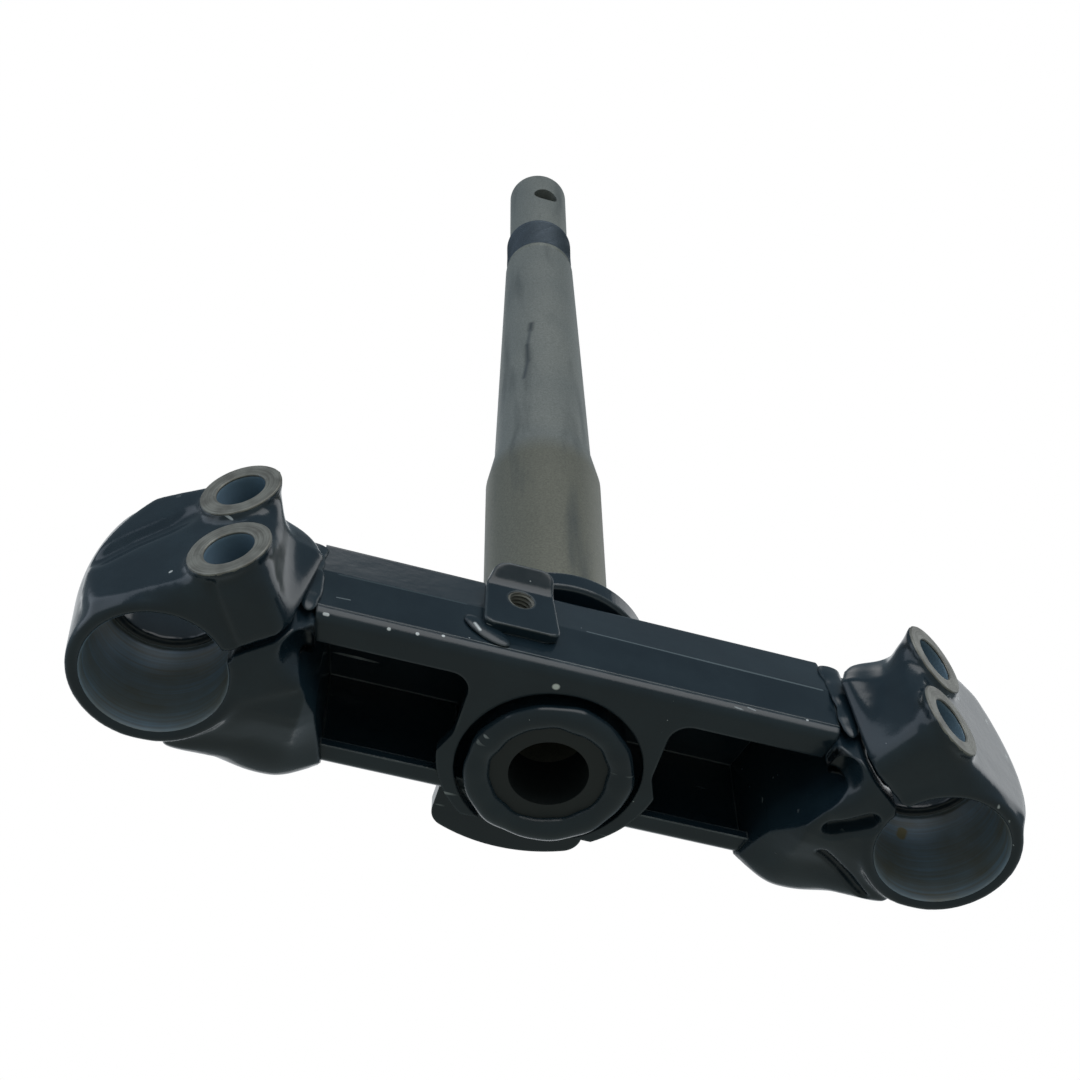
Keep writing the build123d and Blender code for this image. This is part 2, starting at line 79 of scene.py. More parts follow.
BAR_SIDES = 64
BODY = "root"
MOUNTS = {m["name"]: m for m in frame["record"]["mounts"]}
UPRIGHT_AXES = np.eye(3)
DEPTH_AXES = np.eye(3)[[0, 2, 1]]

Array = np.ndarray
Pair = tuple[float, float]
Point = tuple[float, float, float]
Material = bpy.types.Material
Mesh = bpy.types.Mesh
Node = bpy.types.Node
Object = bpy.types.Object
Feed = bpy.types.Node | bpy.types.NodeSocket
NodeAdder = Callable[..., Node]


class Side(Enum):
    """The two fork clamps, named as seen from the front."""

    LEFT = "left"
    RIGHT = "right"


class Level(Enum):
    """The two pinch bolts of a clamp."""

    LOW = "low"
    HIGH = "high"


def linear(code: str) -> tuple[float, float, float, float]:
    """Turn an sRGB hex colour into linear RGBA.

    Args:
        code: six hex digits, such as "1a2024".

    Returns:
        Linear red, green, blue and an alpha of 1.
    """
    parts = [int(code[i:i + 2], 16) / 255 for i in (0, 2, 4)]
    values = [c / 12.92 if c <= 0.04045 else ((c + 0.055) / 1.055) ** 2.4 for c in parts]
    return (values[0], values[1], values[2], 1.0)


def add_node(
    tree: bpy.types.NodeTree, kind: str, *inputs: Any, named: dict | None = None, **settings: Any
) -> Node:
    """Add a shader node with its settings and links.

    An input is a value, the socket that feeds it, or a node, which feeds it by its first output in use.

    Args:
        tree: node tree that gets the node.
        kind: the node's type name, without the "ShaderNode" before it.
        inputs: inputs in the order of the node's sockets in use.
        named: inputs by the name of their socket.
        settings: attributes of the node.

    Returns:
        The new node.
    """
    made = tree.nodes.new(f"ShaderNode{kind}")
    for key, value in settings.items():
        setattr(made, key, value)
    sockets = [socket for socket in made.inputs if socket.enabled]
    pairs = list(zip(sockets, inputs)) + [(made.inputs[key], value) for key, value in (named or {}).items()]
    for socket, value in pairs:
        if isinstance(value, Node):
            value = next(output for output in value.outputs if output.enabled)
        if isinstance(value, bpy.types.NodeSocket):
            tree.links.new(value, socket)
        else:
            socket.default_value = value
    return made


def new_material(name: str) -> tuple[Material, NodeAdder]:
    """Make an empty node material.

    Args:
        name: the material's name.

    Returns:
        The material, cleared, and the function that adds a node to it.
    """
    material = bpy.data.materials.new(name)
    material.use_nodes = True
    material.node_tree.nodes.clear()
    return material, partial(add_node, material.node_tree)


def linked(name: str, data: bpy.types.ID) -> Object:
    """Put a new object into the scene.

    Args:
        name: the object's name.
        data: its mesh, lamp or camera.

    Returns:
        The object, at the origin.
    """
    made = bpy.data.objects.new(name, data)
    bpy.context.scene.collection.objects.link(made)
    return made


def shade_smooth(mesh: Mesh, crease_degrees: float | None = None) -> None:
    """Shade a mesh smoothly, except at edges that turn by more than the crease's angle."""
    mesh.polygons.foreach_set("use_smooth", np.ones(len(mesh.polygons), bool))
    if crease_degrees is not None:
        mesh.set_sharp_from_angle(angle=math.radians(crease_degrees))


@contextmanager
def opened(mesh: Mesh, source: Mesh | None = None) -> Iterator[bmesh.types.BMesh]:
    """Open a mesh for editing and write it back.

    Args:
        mesh: the mesh that is written.
        source: the mesh that is read, if it is another one.

    Yields:
        The open mesh.
    """
    shell = bmesh.new()
    shell.from_mesh(source or mesh)
    yield shell
    shell.to_mesh(mesh)
    shell.free()


def face_outwards(mesh: Mesh) -> None:
    """Merge doubled points and turn all faces outwards."""
    with opened(mesh) as shell:
        bmesh.ops.remove_doubles(shell, verts=shell.verts, dist=DOUBLE_MM * MM)
        bmesh.ops.recalc_face_normals(shell, faces=shell.faces)


def mesh_object(name: str, mm: Array, faces: Array, uv: Array | None = None) -> Object:
    """Make a smooth-shaded mesh object from arrays.

    Args:
        name: the object's name.
        mm: vertex positions in millimetres, along the last axis.
        faces: vertex numbers, one row for each face.
        uv: optional texture position of each vertex, along the last axis.

    Returns:
        The linked object, at the origin.
    """
    mesh = bpy.data.meshes.new(name)
    mesh.from_pydata((mm.reshape(-1, 3) * MM).tolist(), [], faces.tolist())
    shade_smooth(mesh)
    if uv is not None:
        layer = mesh.uv_layers.new(name="surface")
        corner = np.empty(len(mesh.loops), np.int64)
        mesh.loops.foreach_get("vertex_index", corner)
        layer.data.foreach_set("uv", uv.reshape(-1, 2)[corner].astype(np.float32).ravel())
    mesh.update()
    return linked(name, mesh)


def grid_faces(rows: int, columns: int, closed: bool) -> Array:
    """Quads of a grid of vertices numbered row by row, whose last column joins the first.

    Args:
        rows: number of rows.
        columns: number of columns.
        closed: the last row joins the first.

    Returns:
        Four vertex numbers for each quad.
    """
    r = np.arange(rows if closed else rows - 1)[:, None]
    c = np.arange(columns)[None, :]
    r1, c1 = (r + 1) % rows, (c + 1) % columns
    quads = np.stack([r * columns + c, r * columns + c1, r1 * columns + c1, r1 * columns + c], axis=-1)
    return quads.reshape(-1, 4)


def surface(name: str, mm: Array, closed: bool, uv: Array | None = None) -> Object:
    """Make a smooth tube from a grid of points, with doubled points merged and faces outwards.

    Args:
        name: the object's name.
        mm: points in millimetres, by row and column; the last column joins the first.
        closed: the last row joins the first.
        uv: optional texture position of each point, by row and column.

    Returns:
        The linked object, at the origin.
    """
    piece = mesh_object(name, mm, grid_faces(*mm.shape[:2], closed), uv)
    face_outwards(piece.data)
    return piece


def full_turn(count: int) -> Array:
    """Even angles round a full turn, without its end."""
    return np.linspace(0, 2 * math.pi, count, endpoint=False)


def turned(radius: Array, along: Array, sides: int, axes: Array, middle: Any = 0.0) -> Array:
    """Surface of revolution: middle + r * (cos t * axes[0] + sin t * axes[1]) + along * axes[2].

    Args:
        radius: radius of each row, as a column, or of each point, by row and column.
        along: place of each row along the axis.
        sides: number of columns round the axis.
        axes: three unit vectors, the axis last.
        middle: the point where along is 0.

    Returns:
        Points by row and column.
    """
    turn = full_turn(sides)
    ring = np.cos(turn)[:, None] * axes[0] + np.sin(turn)[:, None] * axes[1]
    return middle + radius[..., None] * ring + along[:, None, None] * axes[2]


def ramp(at: Array, start: float, full: float) -> Array:
    """0 on one side of the start, 1 on the other side of full, straight between."""
    return np.clip((at - start) / (full - start), 0.0, 1.0)


def smooth_step(share: Array) -> Array:
    """The curve 3s^2 - 2s^3, from 0 to 1 without a corner."""
    return share ** 2 * (3 - 2 * share)


def waves(at: Array, parts: Sequence[Point]) -> Array:
    """The sum of size * sin(rate * at + start) over parts of size, rate and start."""
    return sum(size * np.sin(rate * at + start) for size, rate, start in parts)


def mesh_points(mesh: Mesh) -> Array:
    """Read a mesh's vertices.

    Args:
        mesh: the mesh, in metres.

    Returns:
        Their places in millimetres, one row each.
    """
    points = np.empty(len(mesh.vertices) * 3)
    mesh.vertices.foreach_get("co", points)
    return points.reshape(-1, 3) / MM


def seat_piece(piece: Object, finish: Material, nodes: Sequence[str] = ()) -> Object:
    """Give a piece its finish and its body, and let it stand for frame nodes.

    Args:
        piece: the finished object.
        finish: its material.
        nodes: frame nodes that it replaces.

    Returns:
        The piece.
    """
    piece.data.materials.clear()
    piece.data.materials.append(finish)
    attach(piece, BODY)
    if nodes:
        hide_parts(*nodes)
    LOG.info("%s: %d faces", piece.name, len(piece.data.polygons))
    return piece


def merged_copy(node: str, name: str, crease_degrees: float) -> Object:
    """Copy a frame node with its loose triangles joined, smooth except at creases.

    Args:
        node: the frame node.
        name: name of the copy.
        crease_degrees: edges that turn by more than this stay sharp.

    Returns:
        The copy, at the origin.
    """
    mesh = bpy.data.meshes.new(name)
    with opened(mesh, frame["nodes"][node].data) as shell:
        bmesh.ops.remove_doubles(shell, verts=shell.verts, dist=LOOSE_MM * MM)
    mesh.materials.clear()
    shade_smooth(mesh, crease_degrees)
    return linked(name, mesh)


def evaluated_mesh(piece: Object) -> Mesh:
    """A new mesh with the piece's modifiers carried out."""
    graph = bpy.context.evaluated_depsgraph_get()
    return bpy.data.meshes.new_from_object(piece.evaluated_get(graph))


def drill(piece: Object, hole: dict, crease_degrees: float) -> None:
    """Cut a hole along the part's depth with a round bar, twice as long as the hole's mount.

    Args:
        piece: the piece that is drilled.
        hole: the hole's mount, with its axis along the part's depth.
        crease_degrees: edges of the drilled piece that turn by more than this are sharp.
    """
    radius = np.array([[0.0], [1.0], [1.0], [0.0]]) * hole["dims"]["r_mm"]
    reach = np.array([-1.0, -1.0, 1.0, 1.0]) * hole["dims"]["length_mm"]
    bar = surface("bar", turned(radius, reach, BAR_SIDES, DEPTH_AXES, np.array(hole["pos_m"]) / MM), False)
    cut = piece.modifiers.new("hole", "BOOLEAN")
    cut.object = bar
    cut.operation = "DIFFERENCE"
    cut.solver = "EXACT"
    mesh = evaluated_mesh(piece)
    piece.modifiers.clear()
    piece.data = mesh
    bpy.data.objects.remove(bar)
    with opened(mesh) as shell:
        bmesh.ops.triangulate(shell, faces=shell.faces)
        bmesh.ops.remove_doubles(shell, verts=shell.verts, dist=SLIVER_MM * MM)
        bmesh.ops.dissolve_degenerate(shell, edges=shell.edges, dist=SLIVER_MM * MM)
    shade_smooth(mesh, crease_degrees)


@dataclass(frozen=True)
class Mark:
    """A dab, scratch or painted highlight of another colour, the surface within a radius of a line between
    two points.
    """

    start_mm: Point
    run_mm: Point
    radius_mm: float
    colour: str
    core: float = 0.6

    def cover(self, add: NodeAdder, mm: Feed, below: Feed) -> Node:
        """Lay the mark over a colour.

        Args:
            add: adds a node to the material.
            mm: object coordinates in millimetres.
            below: colour under the mark.

        Returns:
            The colour with the mark.
        """
        square = sum(v * v for v in self.run_mm)
        per_run = tuple(v / square for v in self.run_mm)
        offset = add("VectorMath", mm, self.start_mm, operation="SUBTRACT")
        along = add("VectorMath", offset, per_run, operation="DOT_PRODUCT")
        share = add("MapRange", along)
        near = add("VectorMath", self.run_mm, share, operation="SCALE")
        away = add("VectorMath", offset, near, operation="DISTANCE")
        cover = add("MapRange", away, self.radius_mm, self.core * self.radius_mm)
        return add("Mix", cover, below, linear(self.colour), data_type="RGBA")


@dataclass(frozen=True)
class GlossEnamel:
    """Black stoving enamel, sprayed over steel: glossy, a little orange-peeled, with dust and chips.

    A span holds the values of a noise or a cosine at which an effect starts and at which it is full.
    """

    name: str = "black enamel, sprayed over steel"
    colour: str = "14212a"
    haze_colour: str = "1f2f38"
    worn_edge_and_highlight_colour: str = "868e91"
    speck_colour: str = "b8bfc2"
    roughness: Pair = (0.15, 0.3)
    ior: float = 1.5
    peel_mm: float = 2.2
    peel_depth_mm: float = 0.02
    wave_mm: float = 11.0
    wave_depth_mm: float = 0.12
    haze_waves: float = 2.2
    haze_grain: float = 0.62
    haze_span: Pair = (0.42, 0.78)
    haze_share: Pair = (0.08, 0.75)
    speck_spacing_mm: float = 4.4
    speck_mm: float = 0.26
    speck_span: Pair = (0.72, 1.0)
    scratch_width_mm: float = 0.25
    scratch_turn: Point = (0.4, 0.9, 0.6)
    scratch_per_mm: Pair = (0.035, 0.3)
    scratch_span: Pair = (0.735, 0.76)
    patch_mm: float = 16.0
    patch_span: Pair = (0.55, 0.7)
    chip_cover: float = 0.75
    edge_mm: float = 0.9
    edge_span: Pair = (0.9985, 0.96)
    edge_patch_span: Pair = (0.45, 0.72)
    edge_wear_and_highlight: Pair = (0.04, 0.2)
    forged: bool = False
    marks: tuple[Mark, ...] = ()

    def build(self) -> Material:
        """Make the material.

        Returns:
            A procedural material on object coordinates, in millimetres.
        """
        material, add = new_material(self.name)
        place = add("TexCoord").outputs["Object"]
        mm = add("VectorMath", place, (1 / MM,) * 3, operation="MULTIPLY")
        peel = add("TexNoise", mm, 1 / self.peel_mm, 2.0)
        wave = add("TexNoise", mm, 1 / self.wave_mm, 3.0)
        rounded = add("Bevel", self.edge_mm * MM, samples=6)
        normal = rounded
        for depth_mm, height in ((self.wave_depth_mm, wave), (self.peel_depth_mm, peel)):
            normal = add("Bump", named={
                "Strength": 1.0, "Distance": depth_mm * MM, "Height": height, "Normal": normal,
            })
        haze = self._haze(add, mm)
        chips = self._chips(add, mm)
        edge = self._edge(add, rounded, wave)
        colour: Any = linear(self.colour)
        # pale edges: worn paint, and where the edge wear is strong, also a painted highlight
        for share, over in ((haze, self.haze_colour), (edge, self.worn_edge_and_highlight_colour), (chips, self.speck_colour)):
            colour = add("Mix", share, colour, linear(over), data_type="RGBA")
        metal: Any = 0.0
        rough = add("MapRange", haze, 0.0, 1.0, *self.roughness)
        if self.forged:
            colour, metal, rough = MachinedBore().cover(add, place, mm, colour, rough)
        for mark in self.marks:
            colour = mark.cover(add, mm, colour)
        shader = add("BsdfPrincipled", named={
            "Base Color": colour, "Metallic": metal, "Roughness": rough, "IOR": self.ior, "Normal": normal,
        })
        add("OutputMaterial", shader)
        return material

    def _haze(self, add: NodeAdder, mm: Feed) -> Node:
        """Patches of dried film on the paint, from a broad noise."""
        broad = add("TexNoise", mm, 1 / (self.haze_waves * self.wave_mm), 6.0, self.haze_grain)
        return add("MapRange", broad, *self.haze_span, *self.haze_share)

    def _chips(self, add: NodeAdder, mm: Feed) -> Node:
        """Pale chips in random cells and thin scratches in a few places.

        Args:
            add: adds a node to the material.
            mm: object coordinates in millimetres.

        Returns:
            The share of bare filler.
        """
        cells = add("TexVoronoi", mm, 1 / self.speck_spacing_mm)
        chance = add("SeparateColor", cells.outputs["Color"])
        size = add("MapRange", chance, *self.speck_span, 0.0, self.speck_mm / self.speck_spacing_mm)
        speck = add("Math", cells, size, operation="LESS_THAN")
        along, through = self.scratch_per_mm
        streak = add("TexNoise", add("Mapping", named={
            "Vector": mm, "Rotation": self.scratch_turn,
            "Scale": (along, 1 / (6 * self.scratch_width_mm), through),
        }), 1.0, 1.0)
        line = add("MapRange", streak, *self.scratch_span)
        patch = add("TexNoise", mm, 1 / self.patch_mm)
        where = add("MapRange", patch, *self.patch_span)
        scratch = add("Math", line, where, operation="MULTIPLY")
        both = add("Math", speck, scratch, operation="MAXIMUM")
        return add("Math", both, self.chip_cover, operation="MULTIPLY")

    def _edge(self, add: NodeAdder, rounded: Feed, patch: Feed) -> Node:
        """Thin paint and painted highlight on edges: where the rounded normal leaves the true one, broken up
        by a noise.

        Args:
            add: adds a node to the material.
            rounded: the normal with its edges rounded.
            patch: the noise.

        Returns:
            The share of thin paint and painted highlight.
        """
        true = add("NewGeometry").outputs["Normal"]
        cosine = add("VectorMath", rounded, true, operation="DOT_PRODUCT")
        turn = add("MapRange", cosine, *self.edge_span)
        broken = add("MapRange", patch, *self.edge_patch_span, *self.edge_wear_and_highlight)
        return add("Math", turn, broken, operation="MULTIPLY")


@dataclass(frozen=True)
class MachinedBore:
    """Bored and drilled steel in the clamps: bare, browned by oil, with fine rings from the boring bar."""

    colour: str = "8095a8"
    oiled_colour: str = "777770"
    drilled_colour: str = "647a8b"
    roughness: float = 0.5
    metallic: float = 0.2
    wall_mm: float = 0.35
    ring_mm: float = 1.1  # coarser than a real boring mark, so that it shows
    ring_per_mm: float = 0.02
    oil_mm: float = 14.0
    oil_span: Pair = (0.15, 0.38)

    def cover(
        self, add: NodeAdder, place: Feed, mm: Feed, paint: Feed, paint_rough: Feed
    ) -> tuple[Node, Node, Node]:
        """Lay the bare bore over the paint, inside the bore's radius on either side.

        Args:
            add: adds a node to the material.
            place: object coordinates in metres.
            mm: object coordinates in millimetres.
            paint: colour of the paint.
            paint_rough: roughness of the paint.

        Returns:
            Colour, metallic and roughness of the surface.
        """
        fork = MOUNTS["right_fork"]
        flat = add("VectorMath", place, operation="ABSOLUTE")
        sideways = add("SeparateXYZ", flat).outputs[0]
        upright = add("SeparateXYZ", place).outputs
        plan = add("CombineXYZ", sideways, upright[1])
        away = add("VectorMath", plan, (*fork["pos_m"][:2], 0.0), operation="DISTANCE")
        limit = (fork["dims"]["r_mm"] + self.wall_mm) * MM
        shoulder = fork["pos_m"][2] + (fork["dims"]["length_mm"] / 2 - self.wall_mm) * MM
        narrow = add("Math", away, limit, operation="LESS_THAN")
        low = add("Math", upright[2], shoulder, operation="LESS_THAN")
        inside = add("Math", narrow, low, operation="MULTIPLY")
        mirrored = add("CombineXYZ", sideways, upright[1], upright[2])
        stretched = add("Mapping", named={
            "Vector": mm, "Scale": (self.ring_per_mm, self.ring_per_mm, 1 / self.ring_mm),
        })
        rings = add("TexNoise", stretched, 1.0, 3.0)
        oil = add("TexNoise", mm, 1 / self.oil_mm, 4.0)
        spread = add("MapRange", add("Math", rings, oil, operation="MULTIPLY"), *self.oil_span)
        steel = add("Mix", spread, linear(self.oiled_colour), linear(self.colour), data_type="RGBA")
        colour = add("Mix", inside, paint, steel, data_type="RGBA")
        for level in Level:
            hole = self._drilled(add, mirrored, level)
            colour = add("Mix", hole, colour, linear(self.drilled_colour), data_type="RGBA")
        metal = add("Math", inside, self.metallic, operation="MULTIPLY")
        return colour, metal, add("Mix", inside, paint_rough, self.roughness)

    def _drilled(self, add: NodeAdder, place: Feed, level: Level) -> Node:
        """1 inside one pinch bolt's hole, measured across the bolt's axis.

        Args:
            add: adds a node to the material.
            place: object coordinates in metres, mirrored to the right side.
            level: which of the two bolts.

        Returns:
            The share of bare steel.
        """
        bolt = MOUNTS[f"right_pinch_{level.value}"]
        limit = (bolt["dims"]["r_mm"] + self.wall_mm) * MM
        start = -0.5 * bolt["dims"]["length_mm"] * MM
        offset = add("VectorMath", place, bolt["pos_m"], operation="SUBTRACT")
        across = add("VectorMath", offset, bolt["axis"], operation="CROSS_PRODUCT")
        length = add("VectorMath", across, operation="LENGTH")
        narrow = add("Math", length, limit, operation="LESS_THAN")
        along = add("VectorMath", offset, bolt["axis"], operation="DOT_PRODUCT")
        ahead = add("Math", along, start, operation="GREATER_THAN")
        return add("Math", narrow, ahead, operation="MULTIPLY")


@dataclass(frozen=True)
class PhosphatedSteel:
    """Turned steel, phosphated: matt grey with fine rings, brown at the journal, stained in streaks."""

    name: str = "phosphated steel, turned"
    shaft_colour: str = "8d8f8a"
    shade_colour: str = "747a7a"
    journal_colour: str = "75756b"
    stain_colour: str = "4d5354"
    thread_colour: str = "434d57"
    foot_colour: str = "171d1f"
    foot_top_mm: float = -30.0
    roughness: Pair = (0.4, 0.62)
    metallic: float = 0.55
    journal_fade_mm: Pair = (81.0, 71.0)
    ring_mm: float = 0.45  # coarser than a real turning mark, so that it shows
    ring_per_mm: float = 0.05
    ring_depth_mm: float = 0.006
    grain_mm: float = 0.5  # coarser than real phosphate crystals, so that it shows
    grain_span: Pair = (0.3, 0.7)
    grain_tone: Pair = (0.8, 1.18)
    cloud_mm: float = 27.0
    stain_mm: float = 9.0
    stain_stretch: float = 0.12
    stain_rate: float = 1.6
    stain_span: Pair = (0.54, 0.78)
    stain_cover: float = 0.7
    smears: tuple[Mark, ...] = (
        Mark((-6.1, -10.4, 150.7), (-0.3, 0.1, -4.4), 1.4, "42484b", 0.0),
        Mark((-6.4, -10.3, 146.3), (-0.9, 0.3, -9.1), 0.9, "5c6264", 0.0),
        Mark((-7.3, -10.0, 137.2), (0.1, -0.3, -10.2), 1.2, "474d50", 0.0),
        Mark((-7.2, -10.3, 127.0), (-1.1, 0.5, -9.7), 1.0, "50565a", 0.0),
    )

    def build(self) -> Material:
        """Make the material.

        Returns:
            A procedural material on object coordinates, in millimetres.
        """
        material, add = new_material(self.name)
        place = add("TexCoord").outputs["Object"]
        mm = add("VectorMath", place, (1 / MM,) * 3, operation="MULTIPLY")
        height = add("SeparateXYZ", mm).outputs[2]
        lathe = add("Mapping", named={
            "Vector": mm, "Scale": (self.ring_per_mm, self.ring_per_mm, 1 / self.ring_mm),
        })
        rings = add("TexNoise", lathe, 1.0, 2.0)
        grain = add("TexNoise", mm, 1 / self.grain_mm, 4.0)
        flow = add("Mapping", named={
            "Vector": mm, "Scale": tuple(v / self.stain_mm for v in (1.0, 1.0, self.stain_stretch)),
        })
        streaks = add("TexNoise", flow, self.stain_rate, 5.0)
        cloud = add("TexNoise", mm, 1 / self.cloud_mm, 5.0)
        thread = MOUNTS["stem_thread"]
        middle, half = thread["pos_m"][2] / MM, thread["dims"]["length_mm"] / 2
        low = add("MapRange", height, *self.journal_fade_mm)
        stained = add("MapRange", streaks, *self.stain_span, 0.0, self.stain_cover)
        threaded = add("Math", height, middle, half, operation="COMPARE")
        layers = (
            (cloud, self.shaft_colour), (low, self.journal_colour),
            (stained, self.stain_colour), (threaded, self.thread_colour),
        )
        colour: Any = linear(self.shade_colour)
        for share, over in layers:
            colour = add("Mix", share, colour, linear(over), data_type="RGBA")
        fine = add("MapRange", grain, *self.grain_span, *self.grain_tone)
        colour = add("VectorMath", colour, fine, operation="MULTIPLY")
        for smear in self.smears:
            colour = smear.cover(add, mm, colour)
        bare = add("Math", height, self.foot_top_mm, operation="GREATER_THAN")
        shader = add("BsdfPrincipled", named={
            "Base Color": add("Mix", bare, linear(self.foot_colour), colour, data_type="RGBA"),
            "Metallic": add("Math", bare, self.metallic, operation="MULTIPLY"),
            "Roughness": add("MapRange", cloud, 0.0, 1.0, *self.roughness),
            "Normal": add("Bump", named={
                "Strength": 1.0, "Distance": self.ring_depth_mm * MM, "Height": rings,
            }),
        })
        add("OutputMaterial", shader)
        return material


@dataclass(frozen=True)
class SpotFacedSteel:
    """Steel under the bolt heads, spot-faced: bare rings of tool marks round the hole."""

    name: str = "bare steel, spot-faced"
    colour: str = "84847e"
    dull_colour: str = "605f5a"
    roughness: float = 0.5
    metallic: float = 0.45
    mark_mm: float = 0.35  # coarser than a real tool mark, so that it shows
    mark_per_turn: float = 0.6
    mark_depth_mm: float = 0.012
    cloud_mm: float = 4.0
    dull_span: Pair = (0.14, 0.34)

    def build(self) -> Material:
        """Make the material.

        Returns:
            A procedural material; the piece's texture map holds the radius in millimetres.
        """
        material, add = new_material(self.name)
        lathe = add("Mapping", named={
            "Vector": add("UVMap", uv_map="surface"),
            "Scale": (1 / self.mark_mm, self.mark_per_turn, 1.0),
        })
        marks = add("TexNoise", lathe, 1.0, 2.0)
        place = add("TexCoord").outputs["Object"]
        cloud = add("TexNoise", place, 1 / (self.cloud_mm * MM), 4.0)
        mixed = add("Math", marks, cloud, operation="MULTIPLY")
        spread = add("MapRange", mixed, *self.dull_span)
        colour = add("Mix", spread, linear(self.dull_colour), linear(self.colour), data_type="RGBA")
        bump = add("Bump", named={"Strength": 1.0, "Distance": self.mark_depth_mm * MM, "Height": marks})
        shader = add("BsdfPrincipled", named={
            "Base Color": colour, "Metallic": self.metallic, "Roughness": self.roughness, "Normal": bump,
        })
        add("OutputMaterial", shader)
        return material


@dataclass(frozen=True)
class Groove:
    """A groove pressed into a clamp along a line of points, or a swelling where the way leads outward.

    The way is upward unless another is given. A sharp groove is pressed after the skin is relaxed.
    """

    line_mm: tuple[Point, ...]
    half_width_mm: float
    depth_mm: float
    way: Point = (0.0, 0.0, 1.0)
    sharp: bool = False

    def press(self, mm: Array) -> Array:
        """Move of each point: depth times exp(-(d / half width)^4), d its distance from the line.

        Args:
            mm: points in millimetres.

        Returns:
            The move of each point in millimetres.
        """
        away = np.full(len(mm), np.inf)
        for start, end in zip(self.line_mm, self.line_mm[1:]):
            run = np.array(end) - np.array(start)
            share = np.clip((mm - np.array(start)) @ run / (run @ run), 0.0, 1.0)
            away = np.minimum(away, np.linalg.norm(mm - np.array(start) - share[:, None] * run, axis=1))
        return self.depth_mm * np.exp(-(away / self.half_width_mm) ** 4)[:, None] * np.array(self.way)


@dataclass(frozen=True)
class WallPlate:
    """A thin upright plate in a clamp's skin, behind a wall that its tapped holes would break through."""

    middle_mm: Point
    inward: Pair
    depth_mm: Pair = (0.1, 1.4)
    half_length_mm: float = 6.5
    half_height_mm: float = 16.0

    def join(self, piece: Object) -> None:
        """Add the plate's box to a piece: middle + depth * inward, length along the wall, height upright.

        Args:
            piece: the clamp before its skin is remade.
        """
        depth = np.array([*self.inward, 0.0])
        along = np.array([-self.inward[1], self.inward[0], 0.0]) * self.half_length_mm
        up = np.array([0.0, 0.0, self.half_height_mm])
        ring = np.stack([-along - up, along - up, along + up, -along + up])
        sheets = np.array(self.depth_mm)[:, None, None] * depth + ring + np.array(self.middle_mm)
        ends = np.array([[0, 1, 2, 3], [4, 5, 6, 7]])
        box = mesh_object("plate", sheets, np.concatenate([grid_faces(2, 4, False), ends]))
        face_outwards(box.data)
        with opened(piece.data) as shell:
            shell.from_mesh(box.data)
        bpy.data.objects.remove(box)


